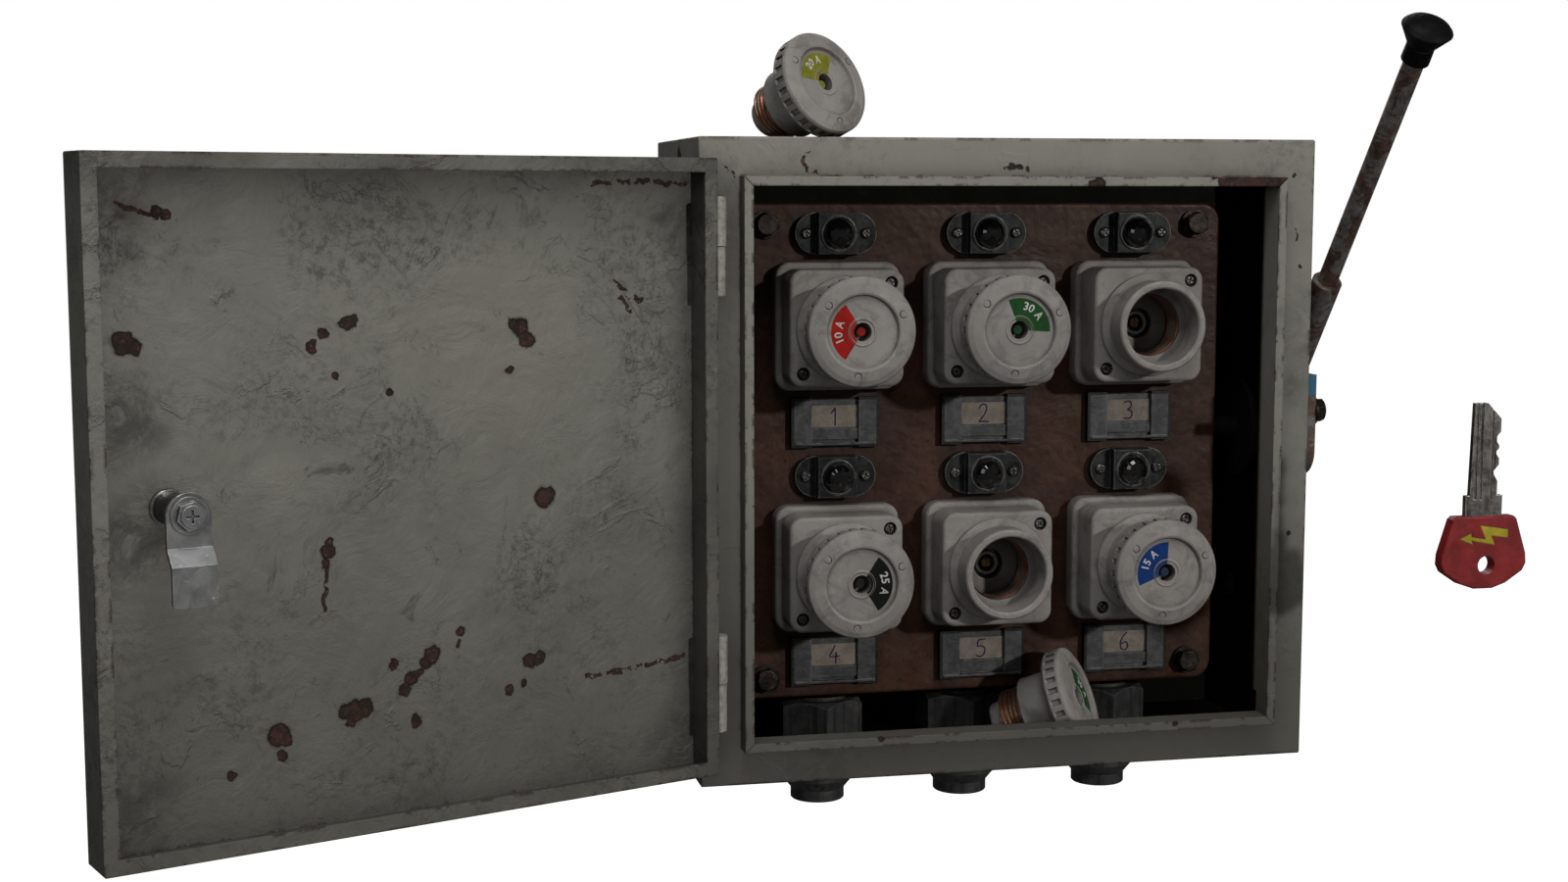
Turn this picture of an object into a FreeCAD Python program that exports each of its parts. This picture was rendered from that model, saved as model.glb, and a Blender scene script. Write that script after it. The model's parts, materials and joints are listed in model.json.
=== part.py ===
import FreeCAD, Part
import math
import os
import Sketcher

# Wall-mounted fuse box: a steel cabinet with a hinged, lockable door, six screw-in fuse sockets
# on an insulating panel, a side switch lever, three cable glands, two loose fuses and a key.
# Millimetres. Origin: centre of the cabinet's back (wall) face. +X right, +Y to the wall, +Z up.

V = FreeCAD.Vector
Rot = FreeCAD.Rotation
doc = FreeCAD.newDocument("fuse_box_panel")
dims = doc.addObject("Spreadsheet::Sheet", "dims")

VALUES = {
    # cabinet
    "box_w": 300, "box_h": 300, "box_d": 115, "sheet": 1.5, "box_edge": 1.0,
    "lip_x": 131, "lip_z": 132, "lip_rise": 11.2, "lip_face": 4.2, "lip_sheet": 1.4, "lip_return": 7.0,
    "wall_bolt_x": 115, "wall_bolt_z": 85, "wall_bolt_r": 3.25,
    # hinge axis, knuckles
    "hinge_x": -143.34, "hinge_y": -122.8, "knuckle_door_r": 4.6, "knuckle_frame_r": 4.2,
    "knuckle_len": 22.3, "hinge_mid": 100.0, "pin_r": 2.0, "pin_bore_r": 2.05,
    # door, modelled shut
    "door_w": 280, "door_h": 280, "door_d": 22.4, "door_gap": 1.0, "door_sheet": 1.2, "door_rim": 6.4,
    # lock
    "lock_x": 104.2, "barrel_r": 6.5, "plug_r": 5.0, "cam_w": 18.1, "cam_len": 35.2, "cam_thk": 2.0,
    # mounting panel
    "panel_x": 0.8, "panel_z": -0.8, "panel_w": 246.2, "panel_h": 241.3, "panel_thk": 5.0,
    "panel_y": -64.0, "panel_bolt_x": 109.3, "panel_bolt_z": 110.6,
    # holders
    "col_pitch": 75.46, "row_top": 61.1, "row_low": -56.3,
    "base_w": 61.4, "base_thk": 9.0, "hub_top": 11.5, "hub_r": 17.4,
    "cover_w": 55.5, "cover_top": 27.7, "collar_top": 46.3, "collar_r": 21.75, "collar_bore": 18.25,
    "cover_screw": 21.3,
    # fuses
    "cap_r": 25.6, "cap_front": 11.8, "body_r": 17.2, "thread_r": 14.1, "thread_root": 13.3,
    "thread_pitch": 2.3, "tip_r": 10.2, "rib_depth": 1.0, "rib_gap_w": 2.9,
    # lamps and labels
    "lamp_z": 44.4, "lamp_w": 40.2, "lamp_h": 20.0, "lamp_thk": 4.1, "lamp_screw": 14.8,
    "label_z": -46.9, "label_w": 43.8, "label_h": 24.3, "label_thk": 3.8,
    # fasteners
    "bolt_af": 10.0, "bolt_head": 4.6, "bolt_r": 3.0, "bolt_len": 18.0, "washer_r": 7.0, "washer_thk": 1.6,
    "screw_head_r": 2.6, "screw_head": 1.6, "screw_r": 1.45,
    # glands
    "gland_pitch": 75.3, "gland_y": -33.0, "gland_bore": 9.5, "gland_tube_r": 15.0,
    "gland_r": 18.0, "gland_tail_r": 13.6, "gland_drop": 30.5, "nut_r": 23.4, "nut_top": 22.0,
    # switch lever
    "pivot_y": -45.0, "pivot_z": 5.0, "shaft_r": 6.0, "lever_x": 162.5, "lever_tilt": 38.2,
    "plate_thk": 5.2, "sleeve_r": 7.2, "sleeve_len": 98.0, "rod_r": 4.8, "rod_len": 232.0,
    "knob_at": 226.8, "knob_r": 11.7,
    # key
    "key_x": 188.0, "key_y": -215.0, "key_z": -18.6, "key_thk": 6.3, "blade_thk": 2.6,
}
for row, (alias, value) in enumerate(VALUES.items(), start=1):
    dims.set("A%d" % row, alias)
    dims.set("B%d" % row, str(value))
    dims.setAlias("B%d" % row, alias)
doc.recompute()

OPEN_ANGLE = 158.87          # door stands open this far; its side wall then meets the cabinet's corner
DIMPLE_ANGLES = (23, 143, 263)
RIBS = 28
nodes = []


def expr(text):
    """Point the words of an expression at the spreadsheet."""
    words, out = "", ""
    for ch in str(text) + " ":
        if ch.isalnum() or ch in "_.":
            words += ch
            continue
        out += ("dims." + words) if words in VALUES else words
        out += ch
        words = ""
    return out.strip()


def bind(obj, prop, text):
    obj.setExpression(prop, expr(text))


def place(obj, pos, rot=None):
    if rot is not None:
        obj.Placement = FreeCAD.Placement(V(0, 0, 0), rot)
    for axis, text in zip("xyz", pos):
        if text != 0:
            bind(obj, "Placement.Base." + axis, text)
    return obj


def box(size, pos):
    """Box from its size and its low corner."""
    obj = doc.addObject("Part::Box", "box")
    for prop, text in zip(("Length", "Width", "Height"), size):
        bind(obj, prop, text)
    return place(obj, pos)


def block(size, centre):
    """Box centred on a point."""
    return box(size, ["%s - (%s) / 2" % (c, s) for c, s in zip(centre, size)])


TURN = {"z": Rot(), "y": Rot(V(1, 0, 0), -90), "x": Rot(V(0, 1, 0), 90)}


def cylinder(radius, length, pos, axis="z"):
    obj = doc.addObject("Part::Cylinder", "cylinder")
    bind(obj, "Radius", radius)
    bind(obj, "Height", length)
    return place(obj, pos, TURN[axis])


def hexagon(across_flats, length, pos, axis="z", spin=0):
    obj = doc.addObject("Part::Prism", "hexagon")
    obj.Polygon = 6
    bind(obj, "Circumradius", "(%s) / sqrt(3)" % across_flats)
    bind(obj, "Height", length)
    return place(obj, pos, TURN[axis] * Rot(V(0, 0, 1), spin))


def fuse(*parts):
    obj = doc.addObject("Part::MultiFuse", "fuse")
    obj.Shapes = list(parts)
    return obj


def cut(base, *tools):
    obj = doc.addObject("Part::Cut", "cut")
    obj.Base = base
    obj.Tool = tools[0] if len(tools) == 1 else group(*tools)
    return obj


def common(first, second):
    obj = doc.addObject("Part::Common", "common")
    obj.Base = first
    obj.Tool = second
    return obj


def group(*parts):
    obj = doc.addObject("Part::Compound", "group")
    obj.Links = list(parts)
    return obj


def moved(part, pos=(0, 0, 0), rot=None):
    """A placed copy of a part."""
    return place(group(part), pos, rot)


def rounded(part, radius, pick):
    """Fillet every edge that pick(edge) accepts."""
    doc.recompute()
    obj = doc.addObject("Part::Fillet", "rounded")
    obj.Base = part
    obj.Edges = [(n, radius, radius) for n, edge in enumerate(part.Shape.Edges, start=1) if pick(edge)]
    return obj


def along(axis):
    """Straight edges parallel to an axis."""
    def pick(edge):
        if len(edge.Vertexes) != 2:
            return False
        step = edge.Vertexes[1].Point - edge.Vertexes[0].Point
        return abs(step.normalize().dot(axis)) > 0.999
    return pick


def at_level(axis, level):
    """Edges lying in the plane axis = level."""
    return lambda edge: all(abs(v.Point.dot(axis) - level) < 1e-4 for v in edge.Vertexes)


def sketch(points, plane=None):
    """Closed polygon; each corner is held by expressions for its two coordinates."""
    obj = doc.addObject("Sketcher::SketchObject", "outline")
    if plane is not None:
        obj.Placement = FreeCAD.Placement(V(0, 0, 0), plane)
    count = len(points)
    ring = [V(40 * math.cos(2 * math.pi * k / count), 40 * math.sin(2 * math.pi * k / count), 0)
            for k in range(count)]
    for k in range(count):
        obj.addGeometry(Part.LineSegment(ring[k], ring[(k + 1) % count]), False)
    for k in range(count):
        obj.addConstraint(Sketcher.Constraint("Coincident", k, 2, (k + 1) % count, 1))
    for k, (first, second) in enumerate(points):
        for kind, text in (("DistanceX", first), ("DistanceY", second)):
            index = obj.addConstraint(Sketcher.Constraint(kind, -1, 1, k, 1, 1.0))
            bind(obj, "Constraints[%d]" % index, text)
    return obj


XZ = Rot(V(1, 0, 0), 90)


def turned(points):
    """Solid of revolution about Z from (radius, height) corners."""
    obj = doc.addObject("Part::Revolution", "turned")
    obj.Source = sketch(points, XZ)
    obj.Axis = V(0, 0, 1)
    obj.Angle = 360
    obj.Solid = True
    return obj


def extruded(points, length, direction, plane=None):
    obj = doc.addObject("Part::Extrusion", "extruded")
    obj.Base = sketch(points, plane)
    obj.DirMode = "Custom"
    obj.Dir = direction
    bind(obj, "LengthFwd", length)
    obj.Solid = True
    return obj


def node(name, part):
    part.Label = name
    nodes.append(part)
    return part


# ---------------------------------------------------------------- cabinet
def ring_wall(half_x, half_z, thick, y_low, depth):
    """Rectangular tube wall, measured to its outside."""
    outer = block(("2 * (%s)" % half_x, depth, "2 * (%s)" % half_z), (0, "%s + (%s) / 2" % (y_low, depth), 0))
    inner = block(("2 * (%s - %s)" % (half_x, thick), "%s + 2" % depth, "2 * (%s - %s)" % (half_z, thick)),
                  (0, "%s + (%s) / 2" % (y_low, depth), 0))
    return cut(outer, inner)


def cabinet_shell():
    outer = rounded(box(("box_w", "box_d", "box_h"), ("-box_w / 2", "-box_d", "-box_h / 2")), 1.0,
                    along(V(0, 1, 0)))
    outer = rounded(outer, 0.99, lambda e: at_level(V(0, 1, 0), -115)(e))
    inside = block(("box_w - 2 * sheet", "box_d - 2 * sheet", "box_h - 2 * sheet"), (0, "-box_d / 2", 0))
    mouth = block(("2 * (lip_x - lip_face)", "4 * sheet", "2 * (lip_z - lip_face)"), (0, "-box_d", 0))
    shell = cut(outer, inside, mouth)
    front = "-box_d - lip_rise"
    side = ring_wall("lip_x", "lip_z", "lip_sheet", front, "lip_rise + sheet / 2")
    face = ring_wall("lip_x", "lip_z", "lip_face", front, "lip_sheet")
    inner = ring_wall("lip_x - lip_face + lip_sheet", "lip_z - lip_face + lip_sheet", "lip_sheet", front,
                      "lip_rise + lip_return")
    # the bottom return stops at the front sheet, the other three run deeper
    relief = box(("box_w - 4 * sheet", "lip_return + 0.01", 20),
                 ("-box_w / 2 + 2 * sheet", "-box_d + sheet", "-lip_z + lip_face - 10"))
    back_holes = [cylinder("wall_bolt_r", "3 * sheet", ("%d * wall_bolt_x" % sx, "-2 * sheet", "%d * wall_bolt_z" % sz),
                           "y") for sx in (-1, 1) for sz in (-1, 1)]
    gland_holes = [cylinder("gland_tube_r + 0.1", "3 * sheet", ("%d * gland_pitch" % k, "gland_y", "-box_h / 2 - sheet"))
                   for k in (-1, 0, 1)]
    pivot_hole = cylinder("shaft_r + 0.08", "4 * sheet", ("box_w / 2 - 2 * sheet", "pivot_y", "pivot_z"), "x")
    plate_holes = [cylinder("bolt_r + 0.05", "4 * sheet", ("box_w / 2 - 2 * sheet", y, "pivot_z + 14"), "x")
                   for y in PLATE_BOLTS]
    inner = cut(inner, relief)
    return cut(fuse(shell, side, face, inner), pivot_hole, *(back_holes + gland_holes + plate_holes))


PLATE_BOLTS = (-106, -12)
node("cabinet", cabinet_shell())


# ---------------------------------------------------------------- hinges
def knuckle(radius, low):
    return cylinder(radius, "knuckle_len", ("hinge_x", "hinge_y", low))


def hinge_levels():
    """Heights of the bottom of each frame knuckle; the door knuckle stands on it."""
    return ["hinge_mid - knuckle_len + 0.7", "-hinge_mid - knuckle_len + 1.0"]


def frame_hinge(low):
    tab = box((3.4, "-hinge_y - box_d", "knuckle_len"), ("hinge_x - 1.7", "hinge_y", low))
    pin = cylinder("pin_r", "knuckle_len * 1.8", ("hinge_x", "hinge_y", low))
    return fuse(knuckle("knuckle_frame_r", low), tab, pin)


def door_hinge(low):
    start = "%s + knuckle_len + 0.1" % low
    bore = cylinder("pin_bore_r", "knuckle_len * 0.9", ("hinge_x", "hinge_y", "%s - 0.1" % start))
    return cut(knuckle("knuckle_door_r", start), bore)


node("hinge_frame_halves", group(*[frame_hinge(low) for low in hinge_levels()]))

swing = Rot(V(0, 0, 1), -OPEN_ANGLE)


def opened(part):
    """Carry a door piece from the shut pose to the open one, about the hinge axis."""
    c, s = "cos(%f)" % -OPEN_ANGLE, "sin(%f)" % -OPEN_ANGLE
    return moved(part, ("hinge_x - (hinge_x * %s - hinge_y * %s)" % (c, s),
                        "hinge_y - (hinge_x * %s + hinge_y * %s)" % (s, c), 0), swing)


node("hinge_door_halves", opened(group(*[door_hinge(low) for low in hinge_levels()])))


# ---------------------------------------------------------------- door
def door_pan():
    y_out = "-box_d - door_gap - door_d"
    outer = box(("door_w", "door_d", "door_h"), ("-door_w / 2", y_out, "-door_h / 2"))
    outer = rounded(outer, 0.8, lambda e: along(V(0, 1, 0))(e) or at_level(V(0, 1, 0), -138.4)(e))
    hollow = block(("door_w - 2 * door_sheet", "door_d - 2 * door_sheet", "door_h - 2 * door_sheet"),
                   (0, "-box_d - door_gap - door_d / 2", 0))
    mouth = block(("door_w - 2 * door_rim", "4 * door_sheet", "door_h - 2 * door_rim"),
                  (0, "-box_d - door_gap", 0))
    lock_hole = cylinder("barrel_r + 0.1", "4 * door_sheet", ("lock_x", y_out + " - door_sheet", 0), "y")
    seats = []
    for low in hinge_levels():
        seats.append(cylinder("knuckle_frame_r + 0.3", "knuckle_len + 0.4", ("hinge_x", "hinge_y", "%s - 0.3" % low)))
        seats.append(cylinder("knuckle_door_r", "knuckle_len", ("hinge_x", "hinge_y", "%s + knuckle_len + 0.1" % low)))
    return cut(outer, hollow, mouth, lock_hole, *seats)


node("door_pan", opened(door_pan()))


# ---------------------------------------------------------------- cam lock, modelled on the shut door
def lock_parts():
    out = "-box_d - door_gap - door_d"
    end = "-box_d + 2.5"
    bore = cylinder("plug_r + 0.05", 60, ("lock_x", out + " - 10", 0), "y")
    barrel = cylinder("barrel_r", "-(%s) + (%s)" % (out, end), ("lock_x", out, 0), "y")
    collar = cylinder("barrel_r + 4", 2.6, ("lock_x", out + " - 2.6", 0), "y")
    housing = cut(fuse(barrel, collar), bore)
    nut = cut(cylinder("barrel_r + 1", 2.5, ("lock_x", out + " + door_sheet", 0), "y"),
              cylinder("barrel_r", 20, ("lock_x", out, 0), "y"))
    plug = cylinder("plug_r", "-(%s) + (%s) + 2.6" % (out, end), ("lock_x", out + " - 2.6", 0), "y")
    tail = block((5, "cam_thk", 5), ("lock_x", end + " + cam_thk / 2", 0))
    keyway = box((1.7, 20, 7.6), ("lock_x - 0.85", out + " - 3", -3.8))
    screw_bore = cylinder(1.9, 12, ("lock_x", end + " - 7", 0), "y")
    plug = cut(fuse(plug, tail), keyway, screw_bore)
    return housing, nut, plug


def cam():
    """Cranked lever: round eye, a bend, and a flat tongue that hooks behind the lip."""
    top = "-box_d + 2.5"
    side = [(top, "cam_w / 2"), (top + " + cam_thk", "cam_w / 2"), (top + " + cam_thk", "-12.6"),
            (top + " + cam_thk + 5.5", "-19.1"), (top + " + cam_thk + 5.5", "-cam_len"),
            (top + " + 5.5", "-cam_len"), (top + " + 5.5", "-19.9"), (top, "-13.4")]
    yz = Rot(V(0, 0, 1), 90) * Rot(V(1, 0, 0), 90)
    strip = place(extruded(side, "cam_w", V(1, 0, 0), yz), ("lock_x - cam_w / 2", 0, 0))
    tongue = rounded(box(("cam_w", 30, "cam_len"), ("lock_x - cam_w / 2", "-box_d - 5", "-cam_len")), 2.0,
                     lambda e: along(V(0, 1, 0))(e) and e.CenterOfMass.z < -20)
    outline = fuse(tongue, cylinder("cam_w / 2", 30, ("lock_x", "-box_d - 5", 0), "y"))
    return cut(common(strip, outline), block((5, 20, 5), ("lock_x", top, 0)))


def cam_screw():
    top = "-box_d + 2.5 + cam_thk"
    washer = cylinder(7.5, 0.8, ("lock_x", top, 0), "y")
    head = hexagon(10.5, 2.6, ("lock_x", top + " + 0.8", 0), "y", 15)
    button = cylinder(4.4, 0.9, ("lock_x", top + " + 3.4", 0), "y")
    shank = cylinder(1.9, 7, ("lock_x", top + " - 7", 0), "y")
    cross = [block(size, ("lock_x", top + " + 4.3", 0)) for size in ((1.1, 1.6, 5.4), (5.4, 1.6, 1.1))]
    return cut(fuse(washer, head, button, shank), *cross)


housing, lock_nut, plug = lock_parts()
node("lock_housing", opened(housing))
node("lock_nut", opened(lock_nut))
node("lock_plug", opened(plug))
node("lock_cam", opened(cam()))
node("cam_screw", opened(cam_screw()))


# ---------------------------------------------------------------- mounting panel
FACE = Rot(V(1, 0, 0), 90)      # local +Z points out of the panel, towards the door
SPOTS = [(col, row) for row in ("row_top", "row_low") for col in (-1, 0, 1)]


def on_panel(part, x=0, z=0, lift=0, rot=FACE):
    return moved(part, ("panel_x + %s" % x, "panel_y - (%s)" % lift, z), rot)


def spot_x(col):
    return "%d * col_pitch" % col


def panel_bolts():
    return [("%d * panel_bolt_x" % sx, "%d * panel_bolt_z + panel_z" % sz) for sx in (-1, 1) for sz in (-1, 1)]


def mounting_panel():
    plate = block(("panel_w", "panel_thk", "panel_h"), ("panel_x", "panel_y + panel_thk / 2", "panel_z"))
    plate = rounded(plate, 9.0, along(V(0, 1, 0)))
    plate = rounded(plate, 1.6, at_level(V(0, 1, 0), -64.0))
    holes = [cylinder("bolt_r + 0.2", 20, ("panel_x + %s" % x, "panel_y - 5", z), "y") for x, z in panel_bolts()]
    for col, row in SPOTS:
        for side in (-1, 1):
            holes.append(cylinder("screw_r", 20, ("panel_x + %s + %d * lamp_screw" % (spot_x(col), side),
                                                  "panel_y - 5", "%s + lamp_z" % row), "y"))
    return cut(plate, *holes)


node("mounting_panel", mounting_panel())

standoff = cut(cylinder(8, "-panel_y - panel_thk - sheet", (0, 0, 0)),
               cylinder("bolt_r", "bolt_len", (0, 0, "-panel_y - panel_thk - sheet - bolt_len + 2")))
node("panel_standoffs", group(*[on_panel(standoff, x, z, "panel_y + sheet") for x, z in panel_bolts()]))


def hex_bolt():
    """Head on top of z = 0, shank below."""
    head = common(hexagon("bolt_af", "bolt_head", (0, 0, 0)),
                  turned([(0, 0), (7, 0), (7, "bolt_head - 1.4"), (4.7, "bolt_head"), (0, "bolt_head")]))
    return fuse(head, cylinder("bolt_r", "bolt_len", (0, 0, "-bolt_len")))


washer = cut(cylinder("washer_r", "washer_thk", (0, 0, 0)), cylinder("bolt_r + 0.2", 4, (0, 0, -1)))
bolt = hex_bolt()
SIDE = Rot(V(0, 1, 0), 90)      # local +Z points out of the right-hand wall


def on_side(part, y, lift):
    return moved(part, ("box_w / 2 + plate_thk + %s" % lift, y, "pivot_z + 14"), SIDE)


def spun(part, angle):
    return moved(part, (0, 0, 0), Rot(V(0, 0, 1), angle))


bolt_turns = (12, 40, 5, 28, 10, 33)
bolt_places = [on_panel(spun(bolt, turn), x, z, "washer_thk") for turn, (x, z) in zip(bolt_turns, panel_bolts())]
bolt_places += [on_side(spun(bolt, turn), y, "washer_thk") for turn, y in zip(bolt_turns[4:], PLATE_BOLTS)]
washer_places = [on_panel(washer, x, z) for x, z in panel_bolts()] + [on_side(washer, y, 0) for y in PLATE_BOLTS]
node("hex_bolts", group(*bolt_places))
node("bolt_washers", group(*washer_places))


# ---------------------------------------------------------------- fuse sockets
def holder_base():
    plate = rounded(block(("base_w", "base_w", "base_thk"), (0, 0, "base_thk / 2")), 7.0, along(V(0, 0, 1)))
    plate = rounded(plate, 2.0, at_level(V(0, 0, 1), 9.0))
    hub = cylinder("hub_r", "hub_top", (0, 0, 0))
    well = cylinder(7.6, 20, (0, 0, 4))
    screws = [cylinder("screw_r", 30, ("%d * cover_screw" % k, "%d * cover_screw" % k, -5)) for k in (-1, 1)]
    return cut(fuse(plate, hub), well, *screws)


def holder_cover():
    body = rounded(block(("cover_w", "cover_w", "cover_top - base_thk"), (0, 0, "(cover_top + base_thk) / 2")),
                   6.5, along(V(0, 0, 1)))
    body = rounded(body, 1.8, at_level(V(0, 0, 1), 27.7))
    collar = turned([(10, "cover_top - 3"), (24.8, "cover_top - 3"), (24.8, "cover_top + 1.5"),
                     (22.9, "cover_top + 2.9"), ("collar_r", "cover_top + 4.2"), ("collar_r", "collar_top - 0.8"),
                     ("collar_r - 0.8", "collar_top"), (10, "collar_top")])
    bore = turned([(0, -1), (17.6, -1), (17.6, "hub_top + 1.3"), (16.2, "hub_top + 1.3"), (16.2, 28.2),
                   (15.2, 28.2), (15.2, 29.6), ("collar_bore", 29.6), ("collar_bore", "collar_top - 0.8"),
                   ("collar_bore + 0.8", "collar_top"), ("collar_bore + 0.8", "collar_top + 5"),
                   (0, "collar_top + 5")])
    screws = []
    for k in (-1, 1):
        spot = ("%d * cover_screw" % k, "%d * cover_screw" % k)
        screws.append(cylinder("screw_r + 0.2", 30, spot + (0,)))
        screws.append(cylinder("screw_head_r + 0.6", 10, spot + ("cover_top - 2.5",)))
    return cut(fuse(body, collar), bore, *screws)


def ridges(root, crest, low, pitch, count):
    """Corners of a row of blunt ridges up a turned part, from its low end."""
    corners = []
    for k in range(count):
        start = "%s + %d * %s" % (low, k, pitch)
        for radius, step in ((root, 0.15), (crest, 0.40), (crest, 0.72), (root, 0.97)):
            corners.append((radius, "%s + %.2f * %s" % (start, step, pitch)))
    return corners


def screw_shell():
    inner = ridges(15.1, 14.35, 14.0, "thread_pitch", 6)
    return turned([(15.1, "hub_top"), (17.4, "hub_top"), (17.4, "hub_top + 1.2"), (16.1, "hub_top + 1.2"),
                   (16.1, 28.1), (15.1, 28.1)] + inner[::-1])


def centre_contact():
    sleeve = turned([(3.6, 4), (7.5, 4), (7.5, 5.2), (6, 5.2), (6, 9.4), (5.6, 9.8), (4.4, 9.8), (3.6, 9.0)])
    screw = cut(turned([(0, 4), (2.9, 4), (2.9, 8.0), (2.2, 8.6), (0, 8.6)]),
                block((4.4, 0.9, 1.6), (0, 0, 8.6)), block((0.9, 4.4, 1.6), (0, 0, 8.6)))
    return group(sleeve, screw)


base, cover, shell, contact = holder_base(), holder_cover(), screw_shell(), centre_contact()
for number, (col, row) in enumerate(SPOTS, start=1):
    node("socket_base_%d" % number, on_panel(base, spot_x(col), row))
    node("socket_cover_%d" % number, on_panel(cover, spot_x(col), row))
node("socket_shells", group(*[on_panel(shell, spot_x(col), row) for col, row in SPOTS]))
node("centre_contacts", group(*[on_panel(contact, spot_x(col), row) for col, row in SPOTS]))


def pan_screw(length):
    """Cross-head screw, head on top of z = 0."""
    head = turned([(0, 0), ("screw_head_r", 0), ("screw_head_r", 0.9), (1.7, "screw_head"), (0, "screw_head")])
    cross = [block(size, (0, 0, "screw_head")) for size in ((0.7, 3.2, 1.6), (3.2, 0.7, 1.6))]
    return cut(fuse(head, cylinder("screw_r", length, (0, 0, "-(%s)" % length))), *cross)


cover_screw = pan_screw(20)
node("cover_screws", group(*[
    on_panel(spun(cover_screw, 17 * k + 31 * n), "%s + %d * cover_screw" % (spot_x(col), k),
             "%s + %d * cover_screw" % (row, k), "cover_top - 2.5")
    for n, (col, row) in enumerate(SPOTS) for k in (-1, 1)]))


# ---------------------------------------------------------------- indicator lamps and label holders
def lamp_body():
    plate = rounded(block(("lamp_w", "lamp_h", "lamp_thk"), (0, 0, "lamp_thk / 2")), 9.99, along(V(0, 0, 1)))
    tower = rounded(block((19.6, "lamp_h", 9.6), (0, 0, 4.8)), 0.6, at_level(V(0, 0, 1), 9.6))
    bezel = cylinder(8.6, 10.5, (0, 0, 0))
    bore = cylinder(7.7, 20, (0, 0, 1.5))
    screws = [cylinder("screw_r", 30, ("%d * lamp_screw" % k, 0, -5)) for k in (-1, 1)]
    return cut(fuse(plate, tower, bezel), bore, *screws)


def lamp_lens():
    return turned([(0, 1.5), (7.7, 1.5), (7.7, 9.6), (7.45, 10.6), (7.05, 12.0), (6.3, 13.5), (5.2, 14.8),
                   (3.8, 15.7), (2.0, 16.3), (0, 16.5)])


def label_frame():
    back = block(("label_w", "label_h - 1", 1.6), (0, -0.5, 0.8))
    cheeks = [block((10.2, "label_h", "label_thk"), ("%d * (label_w - 10.2) / 2" % k, 0, "label_thk / 2"))
              for k in (-1, 1)]
    sill = block(("label_w - 20", 5.2, 2.8), (0, -5.6, 1.4))
    bead = block(("label_w - 4", 1.4, "label_thk + 0.5"), (0, "-label_h / 2 + 1.6", "(label_thk + 0.5) / 2"))
    return fuse(back, sill, bead, *cheeks)


lamp, lens, frame = lamp_body(), lamp_lens(), label_frame()
card = block((23.3, 10.8, 0.4), (0, 2.8, 1.8))
lamp_spots = [(spot_x(col), "%s + lamp_z" % row) for col, row in SPOTS]
label_spots = [(spot_x(col), "%s + label_z" % row) for col, row in SPOTS]
node("lamp_bodies", group(*[on_panel(lamp, x, z) for x, z in lamp_spots]))
node("lamp_lenses", group(*[on_panel(lens, x, z) for x, z in lamp_spots]))
lamp_screw = pan_screw(12)
node("lamp_screws", group(*[on_panel(spun(lamp_screw, 23 * n), "%s + %d * lamp_screw" % (x, k), z, "lamp_thk")
                            for n, (x, z) in enumerate(lamp_spots) for k in (-1, 1)]))
node("label_frames", group(*[on_panel(frame, x, z) for x, z in label_spots]))
node("label_cards", group(*[on_panel(card, x, z) for x, z in label_spots]))


# ---------------------------------------------------------------- fuses: z = 0 is the cap's back rim
def fuse_cap():
    shape = turned([
        (4.3, 3), (8.1, 3), (8.1, -27.5), (12, -27.5), (12, -16), ("body_r - 0.5", -16),
        ("body_r", -15.5), ("body_r", 0), (23.6, 0), ("cap_r - 0.6", 1.1), ("cap_r", 1.9), ("cap_r", 8.8),
        ("cap_r - 0.6", 9.9), (22.6, 11.0), (18.2, "cap_front"), (17.3, "cap_front - 0.3"),
        (16.6, "cap_front - 2"), (6.8, "cap_front - 2"), (6.5, "cap_front - 1.6"), (5.9, "cap_front - 1.6"),
        (5.6, "cap_front - 2"), (4.3, "cap_front - 2")])
    # each gap between ribs runs out before the front face, which stays round
    gap = extruded([("cap_r - rib_depth", 3.3), ("cap_r - rib_depth", 6.9), ("cap_r + 1", 8.5), ("cap_r + 1", 1.7)],
                   "rib_gap_w", V(0, 1, 0), XZ)
    gap = moved(gap, (0, "-rib_gap_w / 2", 0))
    gaps = [moved(gap, (0, 0, 0), Rot(V(0, 0, 1), 360 * k / RIBS)) for k in range(RIBS)]
    dents = []
    for angle in DIMPLE_ANGLES:
        ring = cut(cylinder(1.9, 2, (20.6, 0, "cap_front - 0.75")), cylinder(1.45, 4, (20.6, 0, 8)))
        dents.append(moved(ring, (0, 0, 0), Rot(V(0, 0, 1), angle)))
    return cut(shape, *(gaps + dents))


def fuse_thread():
    outer = ridges("thread_root", "thread_r", -27.5, "thread_pitch", 5)
    return turned([(12, -16), (12, -27.5), ("thread_root", -27.5)] + outer + [("thread_root", -16)])


def cartridge():
    return turned([(0, -36.4), (3.4, -36.1), (5.4, -35.3), (6.4, -34.2), (8.9, -34.4), (9.6, -33.6),
                   ("tip_r", -28.4), ("tip_r", -27.6), (8, -27.6), (8, 2.9), (2.1, 2.9), (2.1, 6.6),
                   (1.6, 7.1), (0, 7.2)])


cap_part, thread_part, cartridge_part = fuse_cap(), fuse_thread(), cartridge()


def fuse_nodes(name, pos, rot):
    for kind, part in (("cap", cap_part), ("thread", thread_part), ("cartridge", cartridge_part)):
        node("fuse_%s_%s" % (kind, name), moved(part, pos, rot))


for number, (col, row) in enumerate(SPOTS, start=1):
    if number not in (3, 5):
        fuse_nodes(str(number), ("panel_x + %s" % spot_x(col), "panel_y - collar_top - 0.05", row), FACE)

# A loose fuse lies on its cap's back corner and its thread's end.
lie = math.degrees(math.atan2(VALUES["cap_r"] - VALUES["thread_r"], 1.9 + 27.0))
lie_height = VALUES["cap_r"] * math.cos(math.radians(lie)) - 1.9 * math.sin(math.radians(lie)) + 0.02


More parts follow.
